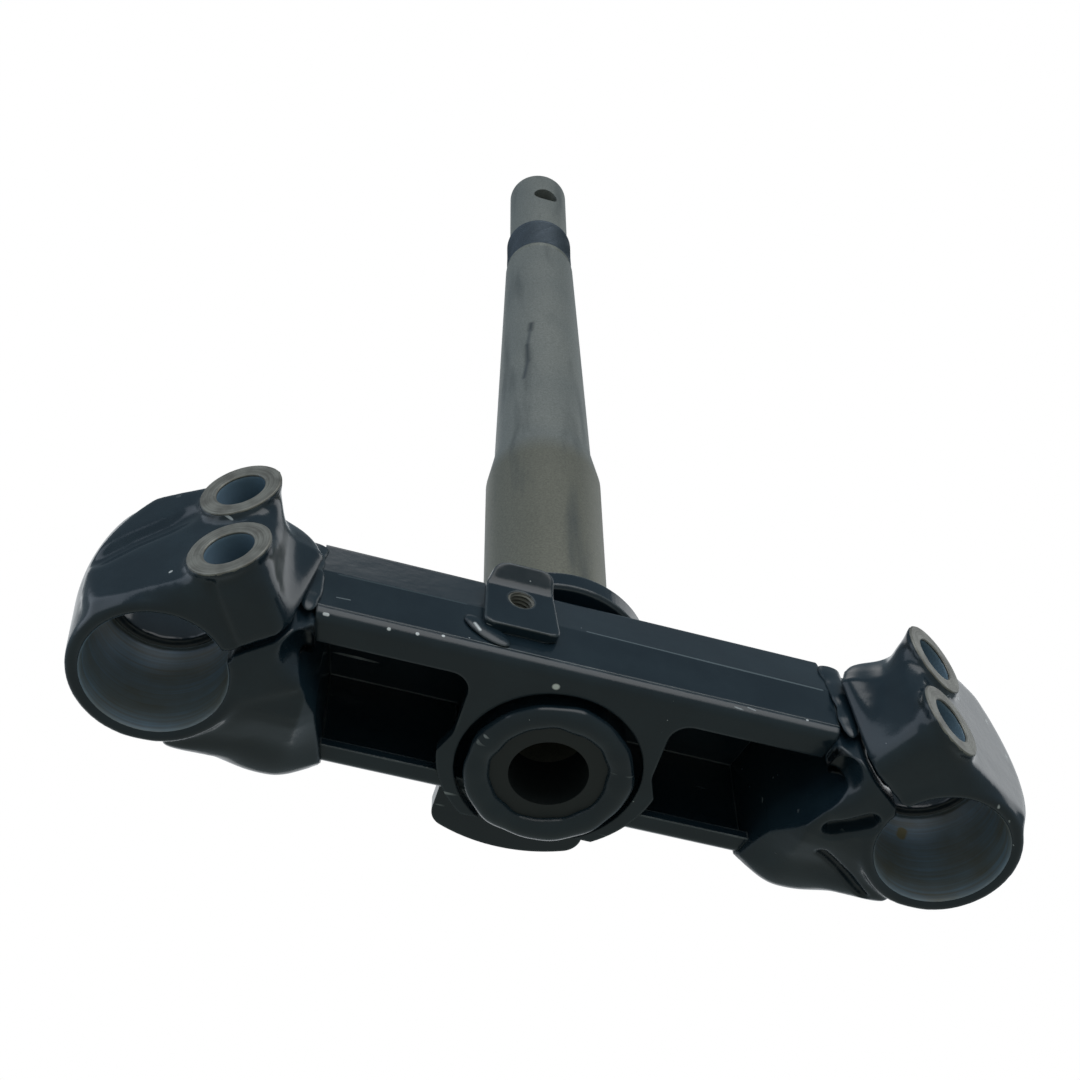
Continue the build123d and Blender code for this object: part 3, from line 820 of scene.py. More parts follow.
@dataclass
class ForgedClamp:
    """One fork clamp: the frame's solid with its forging edges softened and its machined faces kept.

    A share says how far a point may be relaxed, and a keep how far a machined face's surroundings reach.
    """

    side: Side
    grooves: tuple[Groove, ...] = ()
    plates: tuple[WallPlate, ...] = ()
    voxel_mm: float = 0.6
    blank_crease_degrees: float = 30.0
    rounds: int = 12
    step: float = 0.5
    bore_keep_mm: float = 1.6
    bore_fade_mm: float = 1.5
    bore_share: float = 0.1
    neck_keep_x_mm: float = 61.5
    neck_share: float = 0.12
    boss_r_mm: float = 12.0
    face_keep_mm: float = 3.4
    face_depth_mm: float = 1.5
    hole_keep_mm: float = 0.6
    face_share: float = 0.05
    crease_keep_mm: float = 1.2
    crease_reach_mm: float = 3.0
    crease_share: float = 0.15
    saddle_rounds: int = 60
    saddle_r_mm: float = 12.0
    saddle_fade_mm: float = 5.0
    saddle_below_mm: float = 2.0
    heel_rounds: int = 70
    heel_mm: Point = (61.5, 15.0, -46.5)
    heel_r_mm: float = 14.0
    heel_seam_mm: Pair = (52.5, 58.0)
    flare_mm: float = 5.4
    flare_from_mm: float = 21.0
    flare_end_mm: float = 31.0
    flare_slot_mm: float = 3.0
    flare_reach_mm: float = 5.4
    flare_foot_mm: float = -52.0
    flare_full_mm: float = -30.0
    slot_slope: float = 0.114
    slot_middle_mm: float = 1.5
    slot_close_mm: float = 1.5
    slot_close_reach_mm: float = 2.0
    facet_low_mm: float = -30.0
    facet_middle_mm: float = 9.5
    facet_bow: float = 0.035
    facet_lean: float = 0.34
    facet_from_mm: float = 24.0
    facet_end_mm: Pair = (11.0, 17.0)

    def build(self, finish: Material) -> Object:
        """Remesh the solid evenly, flare the ear toward the bridge and relax the forged skin.

        Args:
            finish: the clamp's paint.

        Returns:
            The softened clamp.
        """
        node = f"{self.side.value}_clamp"
        source = merged_copy(node, f"{node}_blank", self.blank_crease_degrees)
        for plate in self.plates:
            plate.join(source)
        remesh = source.modifiers.new("even", "REMESH")
        remesh.mode = "VOXEL"
        remesh.voxel_size = self.voxel_mm * MM
        mesh = evaluated_mesh(source)
        bpy.data.objects.remove(source)
        points = mesh_points(mesh)
        edges = np.empty(len(mesh.edges) * 2, np.int64)
        mesh.edges.foreach_get("vertices", edges)
        edges = edges.reshape(-1, 2)
        share = self._rough_share(points)
        points = self._grooved(self._flared(points), False)
        points = self._relax(points, edges, share, self.rounds)
        points = self._relax(points, edges, share * self._saddle(points), self.saddle_rounds)
        points = self._relax(points, edges, self._heel(points), self.heel_rounds)
        points = self._grooved(points, True)
        mesh.vertices.foreach_set("co", (points * MM).ravel())
        shade_smooth(mesh)
        mesh.name = f"{node}_forging"
        return seat_piece(linked(mesh.name, mesh), finish, [node])

    def _grooved(self, mm: Array, sharp: bool) -> Array:
        """Press the sharp or the soft grooves into the points, one after the other."""
        for groove in self.grooves:
            if groove.sharp is sharp:
                mm = mm + groove.press(mm)
        return mm

    def _bolt_axis(self) -> Array:
        """Unit vector along the pinch bolts, toward their heads."""
        axis = np.array(MOUNTS[f"{self.side.value}_pinch_low"]["axis"])
        return axis * -np.sign(axis[1])

    def _lug_axis(self) -> Array:
        """Unit vector along the lug, from the fork's axis toward the bridge."""
        bolt = self._bolt_axis()
        lug = np.array([-bolt[1], bolt[0], 0.0])
        return lug * (1 if self.side is Side.LEFT else -1) * np.sign(lug[0])

    def _flared(self, mm: Array) -> Array:
        """Draw the ear's end toward the bridge beside the slot, lean its top back and close the slot.

        With u along the lug and n along the bolt, points in front of the slot move along the lug by
        flare * s(u) * t(z) * exp(-((n - slot) / reach)^2), s a smooth step and t a ramp upward. Above the
        crease z = low + bow * (n - middle)^2 the end leans back by lean * (z - crease). Both walls of the
        slot move toward its middle plane n = slope * u - middle by close * exp(-(d / reach)^2), d the
        distance from it.

        Args:
            mm: points in millimetres.

        Returns:
            The moved points.
        """
        u, n, crease = self._along(mm)
        height = mm[:, 2]
        rise = smooth_step(ramp(u, self.flare_from_mm, self.flare_end_mm))
        near = np.exp(-((n - self.flare_slot_mm) / self.flare_reach_mm) ** 2)
        gap = n - (self.slot_slope * u - self.slot_middle_mm)
        climb = ramp(height, self.flare_foot_mm, self.flare_full_mm)
        move = self.flare_mm * rise * climb * near * (gap > 0)
        end = ramp(u, self.facet_from_mm, self.flare_end_mm)
        fade = ramp(n, self.facet_end_mm[1], self.facet_end_mm[0])
        move -= self.facet_lean * np.clip(height - crease, 0.0, None) * end * fade * (gap > 0)
        outside = np.hypot(u, n) > MOUNTS[f"{self.side.value}_fork"]["dims"]["r_mm"] + self.bore_keep_mm
        close = self.slot_close_mm * np.exp(-(gap / self.slot_close_reach_mm) ** 2) * outside * (u > 0)
        return mm + move[:, None] * self._lug_axis() - (close * np.sign(gap))[:, None] * self._bolt_axis()

    def _along(self, mm: Array) -> tuple[Array, Array, Array]:
        """Places along the lug and along the bolt from the fork's axis, and the crease's height there.

        Args:
            mm: points in millimetres.

        Returns:
            Distance along the lug, distance along the bolt, and height of the crease.
        """
        offset = mm - np.array(MOUNTS[f"{self.side.value}_fork"]["pos_m"]) / MM
        n = offset @ self._bolt_axis()
        crease = self.facet_low_mm + self.facet_bow * (n - self.facet_middle_mm) ** 2
        return offset @ self._lug_axis(), n, crease

    def _bolts(self, mm: Array) -> Iterator[tuple[float, Array, Array, float]]:
        """Places of points round each pinch bolt.

        Args:
            mm: points in millimetres.

        Yields:
            The hole's radius, each point's distance along the bolt from its mount and across from its
            axis, and the distance along the bolt where the boss's face starts.
        """
        axis = self._bolt_axis()
        for level in Level:
            bolt = MOUNTS[f"{self.side.value}_pinch_{level.value}"]
            offset = mm - np.array(bolt["pos_m"]) / MM
            along = offset @ axis
            across = np.linalg.norm(offset - along[:, None] * axis, axis=1)
            face = along[across < self.boss_r_mm].max() - self.face_depth_mm
            yield bolt["dims"]["r_mm"], along, across, face

    def _rough_share(self, mm: Array) -> Array:
        """How far each point may be relaxed: 1 on forged skin, near 0 at machined faces.

        Args:
            mm: vertex positions in millimetres.

        Returns:
            One share from 0 to 1 for each point.
        """
        fork = MOUNTS[f"{self.side.value}_fork"]
        bore = np.hypot(mm[:, 0] - fork["pos_m"][0] / MM, mm[:, 1] - fork["pos_m"][1] / MM)
        wall = fork["dims"]["r_mm"] + self.bore_keep_mm
        share = np.clip((bore - wall) / self.bore_fade_mm, self.bore_share, 1.0)
        share = np.where(np.abs(mm[:, 0]) < self.neck_keep_x_mm, np.minimum(share, self.neck_share), share)
        u, n, crease = self._along(mm)
        edge = (np.abs(mm[:, 2] - crease) < self.crease_keep_mm) & (n > 0) & (n < self.facet_end_mm[0])
        edge &= u > self.flare_end_mm - self.crease_reach_mm
        share = np.where(edge, np.minimum(share, self.crease_share), share)
        for radius, along, across, face in self._bolts(mm):
            near = (across < radius + self.face_keep_mm) & (along > face)
            near |= across < radius + self.hole_keep_mm
            share = np.where(near, np.minimum(share, self.face_share), share)
        return share

    def _saddle(self, mm: Array) -> Array:
        """1 round the bosses' roots, where the forging runs smoothly into the ring, fading to 0.

        Args:
            mm: vertex positions in millimetres.

        Returns:
            One share from 0 to 1 for each point.
        """
        share = np.zeros(len(mm))
        for _, along, across, face in self._bolts(mm):
            below = ramp(along, face, face - self.saddle_below_mm)
            near = ramp(np.abs(across - self.saddle_r_mm), self.saddle_fade_mm, 0.0)
            share = np.maximum(share, near * below)
        return share * (along > 0)

    def _heel(self, mm: Array) -> Array:
        """1 at the lower rear corner of the neck, fading to 0 round it and toward the seam.

        Args:
            mm: vertex positions in millimetres.

        Returns:
            One share from 0 to 1 for each point.
        """
        across = np.abs(mm[:, 0])
        folded = np.column_stack([across, mm[:, 1], mm[:, 2]])
        away = np.linalg.norm(folded - np.array(self.heel_mm), axis=1)
        return ramp(away, self.heel_r_mm, self.heel_r_mm / 2) * ramp(across, *self.heel_seam_mm)

    def _relax(self, points: Array, edges: Array, share: Array, rounds: int) -> Array:
        """Move each point toward the middle of its neighbours, a share at a time.

        Args:
            points: vertex positions.
            edges: pairs of vertex numbers.
            share: how far each point may move.
            rounds: number of moves.

        Returns:
            The relaxed positions.
        """
        count = np.bincount(edges.ravel(), minlength=len(points))[:, None]
        pull = (self.step * share)[:, None]
        for _ in range(rounds):
            total = np.stack([
                np.bincount(edges[:, 0], points[edges[:, 1], k], len(points))
                + np.bincount(edges[:, 1], points[edges[:, 0], k], len(points)) for k in range(3)
            ], axis=1)
            points = points + pull * (total / count - points)
        return points


@dataclass
class SteeringStem:
    """Turned stem with its thread and its cross hole, one closed surface of revolution."""

    segments: int = 160
    crease_degrees: float = 28.0
    press_r_mm: float = 16.0
    foot_r_mm: float = 14.4
    foot_z_mm: float = -45.3
    journal_top_mm: float = 74.3
    cone_top_mm: float = 89.3
    shaft_low_r_mm: float = 13.5
    shaft_top_r_mm: float = 10.8
    shaft_top_mm: float = 206.3
    relief_r_mm: float = 9.9
    relief_mm: float = 2.2
    head_r_mm: float = 9.5
    top_mm: float = 265.9
    head_chamfer_mm: float = 1.8
    bore_r_mm: float = 9.2
    bore_mm: float = 150.0
    head_bore_r_mm: float = 6.0
    pitch_mm: float = 1.25
    thread_depth_mm: float = 0.55
    thread_steps: int = 8

    def build(self, finish: Material) -> Object:
        """Turn the profile, cut the thread into its band and bore the cross hole.

        Args:
            finish: the stem's steel.

        Returns:
            The stem.
        """
        radius, height, band = self._profile()
        cut = self._thread(height[:, None], full_turn(self.segments)[None, :])
        grid_r = radius[:, None] - band[:, None] * cut
        piece = surface("steering_stem_turned", turned(grid_r, height, self.segments, UPRIGHT_AXES), True)
        drill(piece, MOUNTS["cross_hole"], self.crease_degrees)
        return seat_piece(piece, finish, ["steering_stem"])

    def _profile(self) -> tuple[Array, Array, Array]:
        """Corners of the turned outline and of its bore, with fine rows along the thread.

        Returns:
            Radius and height of each row in millimetres, and 1 where the thread is cut.
        """
        thread = MOUNTS["stem_thread"]
        half = thread["dims"]["length_mm"] / 2
        middle = thread["pos_m"][2] / MM
        journal_r = MOUNTS["lower_journal"]["dims"]["r_mm"]
        thread_r = thread["dims"]["r_mm"]
        step_down = self.shaft_top_r_mm - self.relief_r_mm
        rows = int(thread["dims"]["length_mm"] / self.pitch_mm * self.thread_steps)
        foot = [
            (self.bore_r_mm, self.foot_z_mm), (self.foot_r_mm, self.foot_z_mm),
            (self.press_r_mm, self.foot_z_mm + self.press_r_mm - self.foot_r_mm), (self.press_r_mm, 0.0),
            (journal_r, 0.0), (journal_r, self.journal_top_mm), (self.shaft_low_r_mm, self.cone_top_mm),
            (self.shaft_top_r_mm, self.shaft_top_mm), (self.relief_r_mm, self.shaft_top_mm + step_down),
            (self.relief_r_mm, self.shaft_top_mm + self.relief_mm),
        ]
        head = [
            (self.head_r_mm, middle + half + thread_r - self.head_r_mm),
            (self.head_r_mm, self.top_mm - self.head_chamfer_mm),
            (self.head_r_mm - self.head_chamfer_mm, self.top_mm), (self.head_bore_r_mm, self.top_mm),
            (self.head_bore_r_mm, self.foot_z_mm + self.bore_mm + self.bore_r_mm - self.head_bore_r_mm),
            (self.bore_r_mm, self.foot_z_mm + self.bore_mm),
        ]
        band = [(thread_r, z) for z in np.linspace(middle - half, middle + half, rows)]
        outline = np.array(foot + band + head)
        cut = np.concatenate([np.zeros(len(foot)), np.ones(len(band)), np.zeros(len(head))])
        return outline[:, 0], outline[:, 1], cut

    def _thread(self, height: Array, turn: Array) -> Array:
        """Depth of a helical V: a triangle wave of height over pitch less the turn, faded at both ends.

        Args:
            height: heights in millimetres, as a column.
            turn: angles in radians, as a row.

        Returns:
            Depth below the outside of the thread, in millimetres.
        """
        thread = MOUNTS["stem_thread"]
        phase = (height / self.pitch_mm - turn / (2 * math.pi)) % 1.0
        wave = 1 - np.abs(2 * phase - 1)
        room = thread["dims"]["length_mm"] / 2 - np.abs(height - thread["pos_m"][2] / MM)
        return self.thread_depth_mm * wave * ramp(room, 0.0, self.pitch_mm)


@dataclass
class WeldBead:
    """A weld bead: a flat round section carried along a path, swelling and shrinking with the weld pool."""

    name: str
    node: str
    path_mm: Array
    swell: Array
    size_mm: Pair
    closed: bool
    sides: int = 36

    def build(self, finish: Material) -> Object:
        """Sweep the section: path plus swell * (width * cos * out + height * sin * over).

        Args:
            finish: the paint over the weld.

        Returns:
            The bead.
        """
        path = self.path_mm
        ahead = np.roll(path, -1, 0) - np.roll(path, 1, 0) if self.closed else np.gradient(path, axis=0)
        ahead /= np.linalg.norm(ahead, axis=1, keepdims=True)
        out = np.cross(ahead, UPRIGHT_AXES[2] if self.closed else UPRIGHT_AXES[1])
        out /= np.linalg.norm(out, axis=1, keepdims=True)
        over = np.cross(ahead, out)
        turn = full_turn(self.sides)
        wide, high = self.size_mm[0] * np.cos(turn), self.size_mm[1] * np.sin(turn)
        ring = wide[None, :, None] * out[:, None, :] + high[None, :, None] * over[:, None, :]
        piece = surface(self.name, path[:, None, :] + self.swell[:, None, None] * ring, self.closed)
        return seat_piece(piece, finish, [self.node])


@dataclass
class SpotFace:
    """Machined ring under one bolt head, a hair proud of the boss."""

    side: Side
    level: Level
    outer_r_mm: float = 9.3
    hole_lap_mm: float = 0.02
    proud_mm: float = 0.06
    edge_mm: float = 0.25
    rows: int = 24
    segments: int = 96

    def build(self, finish: Material) -> Object:
        """Turn the ring's outline round the bolt: up the edge, across the face and down into the hole.

        Args:
            finish: the bare steel.

        Returns:
            The ring.
        """
        bolt = MOUNTS[f"{self.side.value}_pinch_{self.level.value}"]
        axis = np.array(bolt["axis"])
        inner = bolt["dims"]["r_mm"] - self.hole_lap_mm
        face = np.linspace(inner + self.edge_mm, self.outer_r_mm - self.edge_mm, self.rows)
        radius = np.concatenate([[inner], face, [self.outer_r_mm, self.outer_r_mm, inner]])
        lift = -self.edge_mm * np.concatenate([[1.0], np.zeros(self.rows), [1.0, 2.0, 2.0]])
        flat = np.cross(axis, UPRIGHT_AXES[2])
        axes = np.stack([flat, np.cross(flat, axis), axis])
        middle = np.array(bolt["pos_m"]) / MM
        boss = mesh_points(frame["nodes"][f"{self.side.value}_clamp"].data)
        centre = middle + ((boss - middle) @ axis).max() * axis
        points = turned(radius[:, None], self.proud_mm + lift, self.segments, axes, centre)
        uv = np.stack(np.broadcast_arrays(radius[:, None], full_turn(self.segments)), axis=-1)
        piece = surface(f"{self.side.value}_spot_face_{self.level.value}", points, True, uv)
        return seat_piece(piece, finish)


@dataclass
class FrontTab:
    """Sheet tab on the front of the bridge, its lip bent forward."""

    back_y_mm: float = -28.0
    thick_mm: float = 2.6
    foot_z_mm: float = -35.4
    length_mm: float = 21.4
    bend_from_mm: float = 13.6
    bend_to_mm: float = 18.0
    bend_degrees: float = 38.0
    crease_degrees: float = 35.0
    rows: int = 60
    sides: int = 72
    square: float = 0.22
    stations_mm: tuple[float, ...] = (0.0, 15.4, 21.4)
    middles_x_mm: tuple[float, ...] = (-14.95, -15.6, -15.1)
    half_widths_mm: tuple[float, ...] = (8.85, 7.9, 6.6)
    corner_mm: float = 2.2

    def build(self, finish: Material) -> Object:
        """Sweep a squared oval up the bent line.

        The oval is width * |cos|^square across and half the sheet * |sin|^square through. The line's angle
        is bend * smooth step of the run; the end corners are quarter circles off the width.

        Args:
            finish: the tab's paint.

        Returns:
            The tab.
        """
        run = np.concatenate([[0.0], np.linspace(0.0, self.length_mm, self.rows), [self.length_mm]])
        bend = smooth_step(ramp(run, self.bend_from_mm, self.bend_to_mm))
        angle = math.radians(self.bend_degrees) * bend
        ahead = np.diff(run, prepend=0.0)
        y = self.back_y_mm - self.thick_mm / 2 - np.cumsum(ahead * np.sin(angle))
        z = self.foot_z_mm + np.cumsum(ahead * np.cos(angle))
        room = ramp(np.minimum(run, self.length_mm - run), 0.0, self.corner_mm)
        inset = self.corner_mm * (1 - np.sqrt(1 - (1 - room) ** 2))
        half = np.interp(run, self.stations_mm, self.half_widths_mm) - inset
        middle = np.interp(run, self.stations_mm, self.middles_x_mm)
        thick = np.full(len(run), self.thick_mm / 2)
        thick[[0, -1]] = 0.0
        turn = full_turn(self.sides)
        across, through = (np.sign(v) * np.abs(v) ** self.square for v in (np.cos(turn), np.sin(turn)))
        depth = thick[:, None] * through
        points = np.stack([
            middle[:, None] + half[:, None] * across, y[:, None] + depth * np.cos(angle)[:, None],
            z[:, None] + depth * np.sin(angle)[:, None],
        ], axis=-1)
        piece = surface("front_tab_bent", points, False)
        drill(piece, MOUNTS["tab_thread"], self.crease_degrees)
        return seat_piece(piece, finish, ["front_tab"])


@dataclass
class TackWeld:
    """Blob of weld at the tab's lower corner: an ellipsoid with a wave round it."""

    middle_mm: Point = (-22.8, -28.3, -36.2)
    radii_mm: Point = (5.2, 0.8, 3.2)
    slope: float = -0.55
    wave_share: float = 0.08
    lobes: int = 3
    lobe_start: float = 1.0
    rows: int = 28
    columns: int = 48

    def build(self, finish: Material) -> Object:
        """Wrap the ellipsoid: radii times the sphere's point, sheared along the tab's lower edge.

        Args:
            finish: the paint over the weld.

        Returns:
            The blob.
        """
        down = np.linspace(0, math.pi, self.rows)[:, None]
        turn = full_turn(self.columns)[None, :]
        swell = 1 + self.wave_share * np.sin(down) * np.cos(self.lobes * turn + self.lobe_start)
        x = self.radii_mm[0] * swell * np.sin(down) * np.cos(turn)
        y = self.radii_mm[1] * swell * np.sin(down) * np.sin(turn)
        z = self.radii_mm[2] * swell * np.cos(down) + self.slope * x
        piece = surface("front_tab_tack", np.stack([x, y, z], axis=-1) + np.array(self.middle_mm), False)
        return seat_piece(piece, finish)


@dataclass
class TabThread:
    """Thread in the front tab's hole: a helical rib inside the hole's wall."""

    pitch_mm: float = 1.0
    depth_mm: float = 0.5
    length_mm: float = 5.6
    mouth_mm: float = 0.15
    root_mm: float = 0.05
    wall_lap_mm: float = 0.02
    segments: int = 72
    steps: int = 10

    def build(self, finish: Material) -> Object:
        """Wind the rib: radius is the wall less a triangle wave of depth over pitch less the turn.

        Args:
            finish: the bare steel.

        Returns:
            The threaded sleeve.
        """
        hole = MOUNTS["tab_thread"]
        wall = hole["dims"]["r_mm"]
        low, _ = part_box("front_tab")
        middle = np.array([hole["pos_m"][0], low[1], hole["pos_m"][2]]) / MM + [0.0, self.mouth_mm, 0.0]
        depth = np.linspace(0, self.length_mm, int(self.length_mm / self.pitch_mm * self.steps))
        turn = full_turn(self.segments)
        phase = (depth[:, None] / self.pitch_mm - turn / (2 * math.pi)) % 1.0
        inner = wall - self.root_mm - self.depth_mm * (1 - np.abs(2 * phase - 1))
        radius = np.concatenate([inner, np.full((2, self.segments), wall + self.wall_lap_mm)])
        along = np.concatenate([depth, [depth[-1], depth[0]]])
        points = turned(radius, along, self.segments, DEPTH_AXES, middle)
        uv = np.stack(np.broadcast_arrays(along[:, None], turn), axis=-1)
        return seat_piece(surface("front_tab_thread", points, True, uv), finish)


@dataclass
class PressedPiece:
    """A sheet or turned piece of the weldment, kept as the frame has it."""

    node: str
    crease_degrees: float = 11.0

    def build(self, finish: Material) -> Object:
        """Copy the node with smooth curves and sharp creases, in the given paint."""
        piece = merged_copy(self.node, f"{self.node}_painted", self.crease_degrees)
        return seat_piece(piece, finish, [self.node])


@dataclass
class Weldment:
    """All the pieces, each with its finish. Waves are a size, a rate and a start each."""

    pressed: tuple[str, ...] = ("bridge", "bottom_plate", "stem_hub", "bearing_seat", "steering_stop")
    creased: tuple[str, ...] = ("bridge", "bearing_seat")
    ring_r_mm: float = 16.4
    ring_z_mm: float = -45.2
    ring_size_mm: Pair = (3.1, 2.1)
    ring_points: int = 480
    ring_waves: tuple[Point, ...] = (
        (0.05, 5.0, 0.7 + math.pi / 2), (0.04, 9.0, math.pi / 2), (0.03, 14.0, 2.0 + math.pi / 2),
    )
    seam_size_mm: Pair = (2.7, 0.9)
    seam_out_mm: float = 2.5
    seam_short_mm: float = 1.4
    seam_past_mm: float = 4.0
    seam_depth_mm: float = 1.7
    seam_points: int = 160
    seam_knee: float = 0.48
    seam_knee_mm: Pair = (0.9, 3.4)
    seam_taper: Pair = (0.2, 0.04)
    seam_wander_mm: tuple[Point, ...] = ((0.3, 7.0, 0.0), (0.15, 19.0, 1.0))
    seam_waves: tuple[Point, ...] = ((0.04, 31.0, 0.0), (0.05, 12.0, 2.0))
    sheet_marks_and_highlights: tuple[Mark, ...] = (
        Mark((-5.3, -23.1, -43.7), (0.1, 0.0, 0.0), 0.95, "d9dcd8"),
        Mark((-58.6, -27.3, -42.7), (0.7, 0.0, 0.0), 0.45, "c8cdd0"),
        Mark((-44.4, -27.3, -42.7), (0.1, 0.0, 0.0), 0.45, "c8cdd0"),
        Mark((-38.1, -27.6, -42.4), (0.1, 0.0, 0.0), 0.45, "c8cdd0"),
        Mark((-32.4, -27.9, -41.4), (0.1, 0.0, 0.0), 0.4, "c8cdd0"),
        Mark((-20.6, -28.0, -38.3), (0.1, 0.0, 0.0), 0.3, "aab0b3"),
        # painted highlight: a bright glint streak on the tack weld
        Mark((-25.6, -28.9, -35.4), (1.2, -0.1, -1.9), 0.5, "c2c8cb", 0.2),
        Mark((-56.5, -28.0, -36.6), (3.0, 0.0, 0.2), 0.22, "6f797e", 0.2),
        Mark((35.2, -27.6, -42.0), (2.6, -0.2, -0.5), 0.22, "7d868b"),
        Mark((38.4, -27.9, -41.4), (1.8, 0.1, -0.4), 0.18, "7d868b"),
        Mark((52.7, -28.0, -41.0), (0.1, 0.0, 0.0), 0.35, "c8cdd0"),
        # painted highlight: pale lines along the bridge's crease, dimmer on the left
        Mark((-56.5, -28.0, -27.8), (29.0, 0.0, 0.3), 0.4, "39444a", 0.2),
        Mark((1.0, -27.9, -26.9), (29.0, -0.1, -0.7), 0.4, "5b666c", 0.2),
        Mark((30.0, -28.0, -27.6), (28.0, 0.0, -0.4), 0.4, "5b666c", 0.2),
    )
    forging_marks: tuple[Mark, ...] = (
        Mark((90.2, 4.4, -33.4), (0.8, 0.1, 2.2), 1.5, "7d714a"),
        Mark((97.0, -29.6, -55.9), (0.5, 2.6, 0.0), 0.5, "aeb4b6"),
        Mark((101.4, -24.0, -55.9), (0.5, 1.2, 0.0), 0.4, "aeb4b6"),
        Mark((-92.6, -32.6, -48.0), (0.6, 0.2, 0.4), 0.4, "aeb4b6"),
    )
    grooves: dict[Side, tuple[Groove, ...]] = field(default_factory=lambda: {
        Side.LEFT: (
            Groove(
                (
                    (-107.5, -23.2, -36.0), (-101.0, -27.2, -31.6), (-95.0, -30.8, -28.9),
                    (-91.5, -33.0, -26.2),
                ), 2.6, 1.1, (0.515, 0.857, 0.0),
            ),
            Groove(
                ((-83.6, -36.2, -54.6), (-81.0, -31.5, -55.4), (-76.5, -23.5, -55.5)), 1.2, 0.7, sharp=True,
            ),
            Groove(((-61.0, -23.5, -54.7), (-55.5, -23.5, -54.7)), 4.4, 9.0),
            Groove(((-78.0, 15.0, -51.0), (-60.0, 15.5, -47.0)), 9.0, 1.7, (0.0, 0.37, -0.93)),
        ),
        Side.RIGHT: (
            Groove(((65.1, -1.2, -53.0), (72.5, 3.9, -52.4), (79.5, 9.2, -52.7)), 1.0, 1.8, sharp=True),
            Groove(((64.3, -9.5, -55.2), (71.5, -14.4, -55.4)), 2.0, 4.0, sharp=True),
            Groove(((61.0, -23.5, -54.7), (55.5, -23.5, -54.7)), 4.4, 9.0),
            Groove(((78.0, 15.0, -51.0), (60.0, 15.5, -47.0)), 9.0, 1.7, (0.0, 0.37, -0.93)),
        ),
    })
    plates: dict[Side, tuple[WallPlate, ...]] = field(default_factory=lambda: {
        Side.LEFT: (), Side.RIGHT: (WallPlate((60.7, -13.6, -35.0), (0.878, 0.478)),),
    })

    def build(self) -> None:
        """Build and dress every piece."""
        paint = GlossEnamel(marks=self.sheet_marks_and_highlights).build()
        forged = GlossEnamel(
            name="black enamel, sprayed over a forging", wave_mm=7.0, wave_depth_mm=0.09, forged=True,
            edge_wear_and_highlight=(0.02, 0.12), marks=self.forging_marks,
        ).build()
        spot = SpotFacedSteel().build()
        # strong edge wear: pale lines along the pressing's creases and edges, partly worn paint and partly
        # painted highlight
        creased = GlossEnamel(
            name="black enamel, sprayed over a pressing", edge_mm=0.7, edge_wear_and_highlight=(0.26, 0.6),
            marks=self.sheet_marks_and_highlights,
        ).build()
        for node in self.pressed:
            PressedPiece(node).build(creased if node in self.creased else paint)
        for side in Side:
            ForgedClamp(side, self.grooves[side], self.plates[side]).build(forged)
            for level in Level:
                SpotFace(side, level).build(spot)
            self._seam_bead(side).build(paint)
        SteeringStem().build(PhosphatedSteel().build())
        FrontTab().build(creased)
        TackWeld().build(paint)
        TabThread().build(spot)
        self._ring_bead().build(paint)

    def _seam_bead(self, side: Side) -> WeldBead:
        """The bead up the front of one seam, along the middle of the frame's bead, bent back at its knee.

        Args:
            side: the clamp that the seam belongs to.

        Returns:
            The bead.
        """
        node = f"{side.value}_weld"
        low, high = (np.array(corner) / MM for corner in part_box(node))
        climb = np.linspace(0.0, 1.0, self.seam_points)
        outward = 1.0 if side is Side.RIGHT else -1.0
        knee = ramp(climb, self.seam_knee, 1.0)
        middle = (low[0] + high[0]) / 2 + outward * (self.seam_out_mm - self.seam_knee_mm[0] * knee)
        foot = low[2] - self.seam_past_mm
        path = np.stack([
            middle + waves(climb, self.seam_wander_mm),
            low[1] + self.seam_depth_mm + self.seam_knee_mm[1] * knee,
            foot + climb * (high[2] - self.seam_short_mm - foot),
        ], axis=-1)
        room = np.minimum(climb / self.seam_taper[0], (1 - climb) / self.seam_taper[1])
        swell = np.sqrt(np.clip(room, 0.0, 1.0)) * (1 + waves(climb, self.seam_waves))
        return WeldBead(f"{node}_bead", node, path, swell, self.seam_size_mm, False)

    def _ring_bead(self) -> WeldBead:
        """The bead round the stem's foot, its lumps a sum of waves of the turn."""
        turn = full_turn(self.ring_points)
        path = np.stack([
            self.ring_r_mm * np.cos(turn), self.ring_r_mm * np.sin(turn), np.full(len(turn), self.ring_z_mm),
        ], axis=-1)
        swell = 1 + waves(turn, self.ring_waves)
        return WeldBead("stem_weld_bead", "stem_weld", path, swell, self.ring_size_mm, True)


@dataclass(frozen=True)
class Lamp:
    """A square soft lamp that faces the origin."""

    name: str
    place_m: Point
    watts: float
    size_m: float
    colour: str = "ffffff"

    def build(self) -> None:
        """Hang the lamp and aim it at the part."""
        data = bpy.data.lights.new(self.name, "AREA")
        data.energy = self.watts
        data.size = self.size_m
        data.color = linear(self.colour)[:3]
        made = linked(self.name, data)
        made.location = self.place_m
        made.rotation_euler = (-made.location).to_track_quat("-Z", "Y").to_euler()


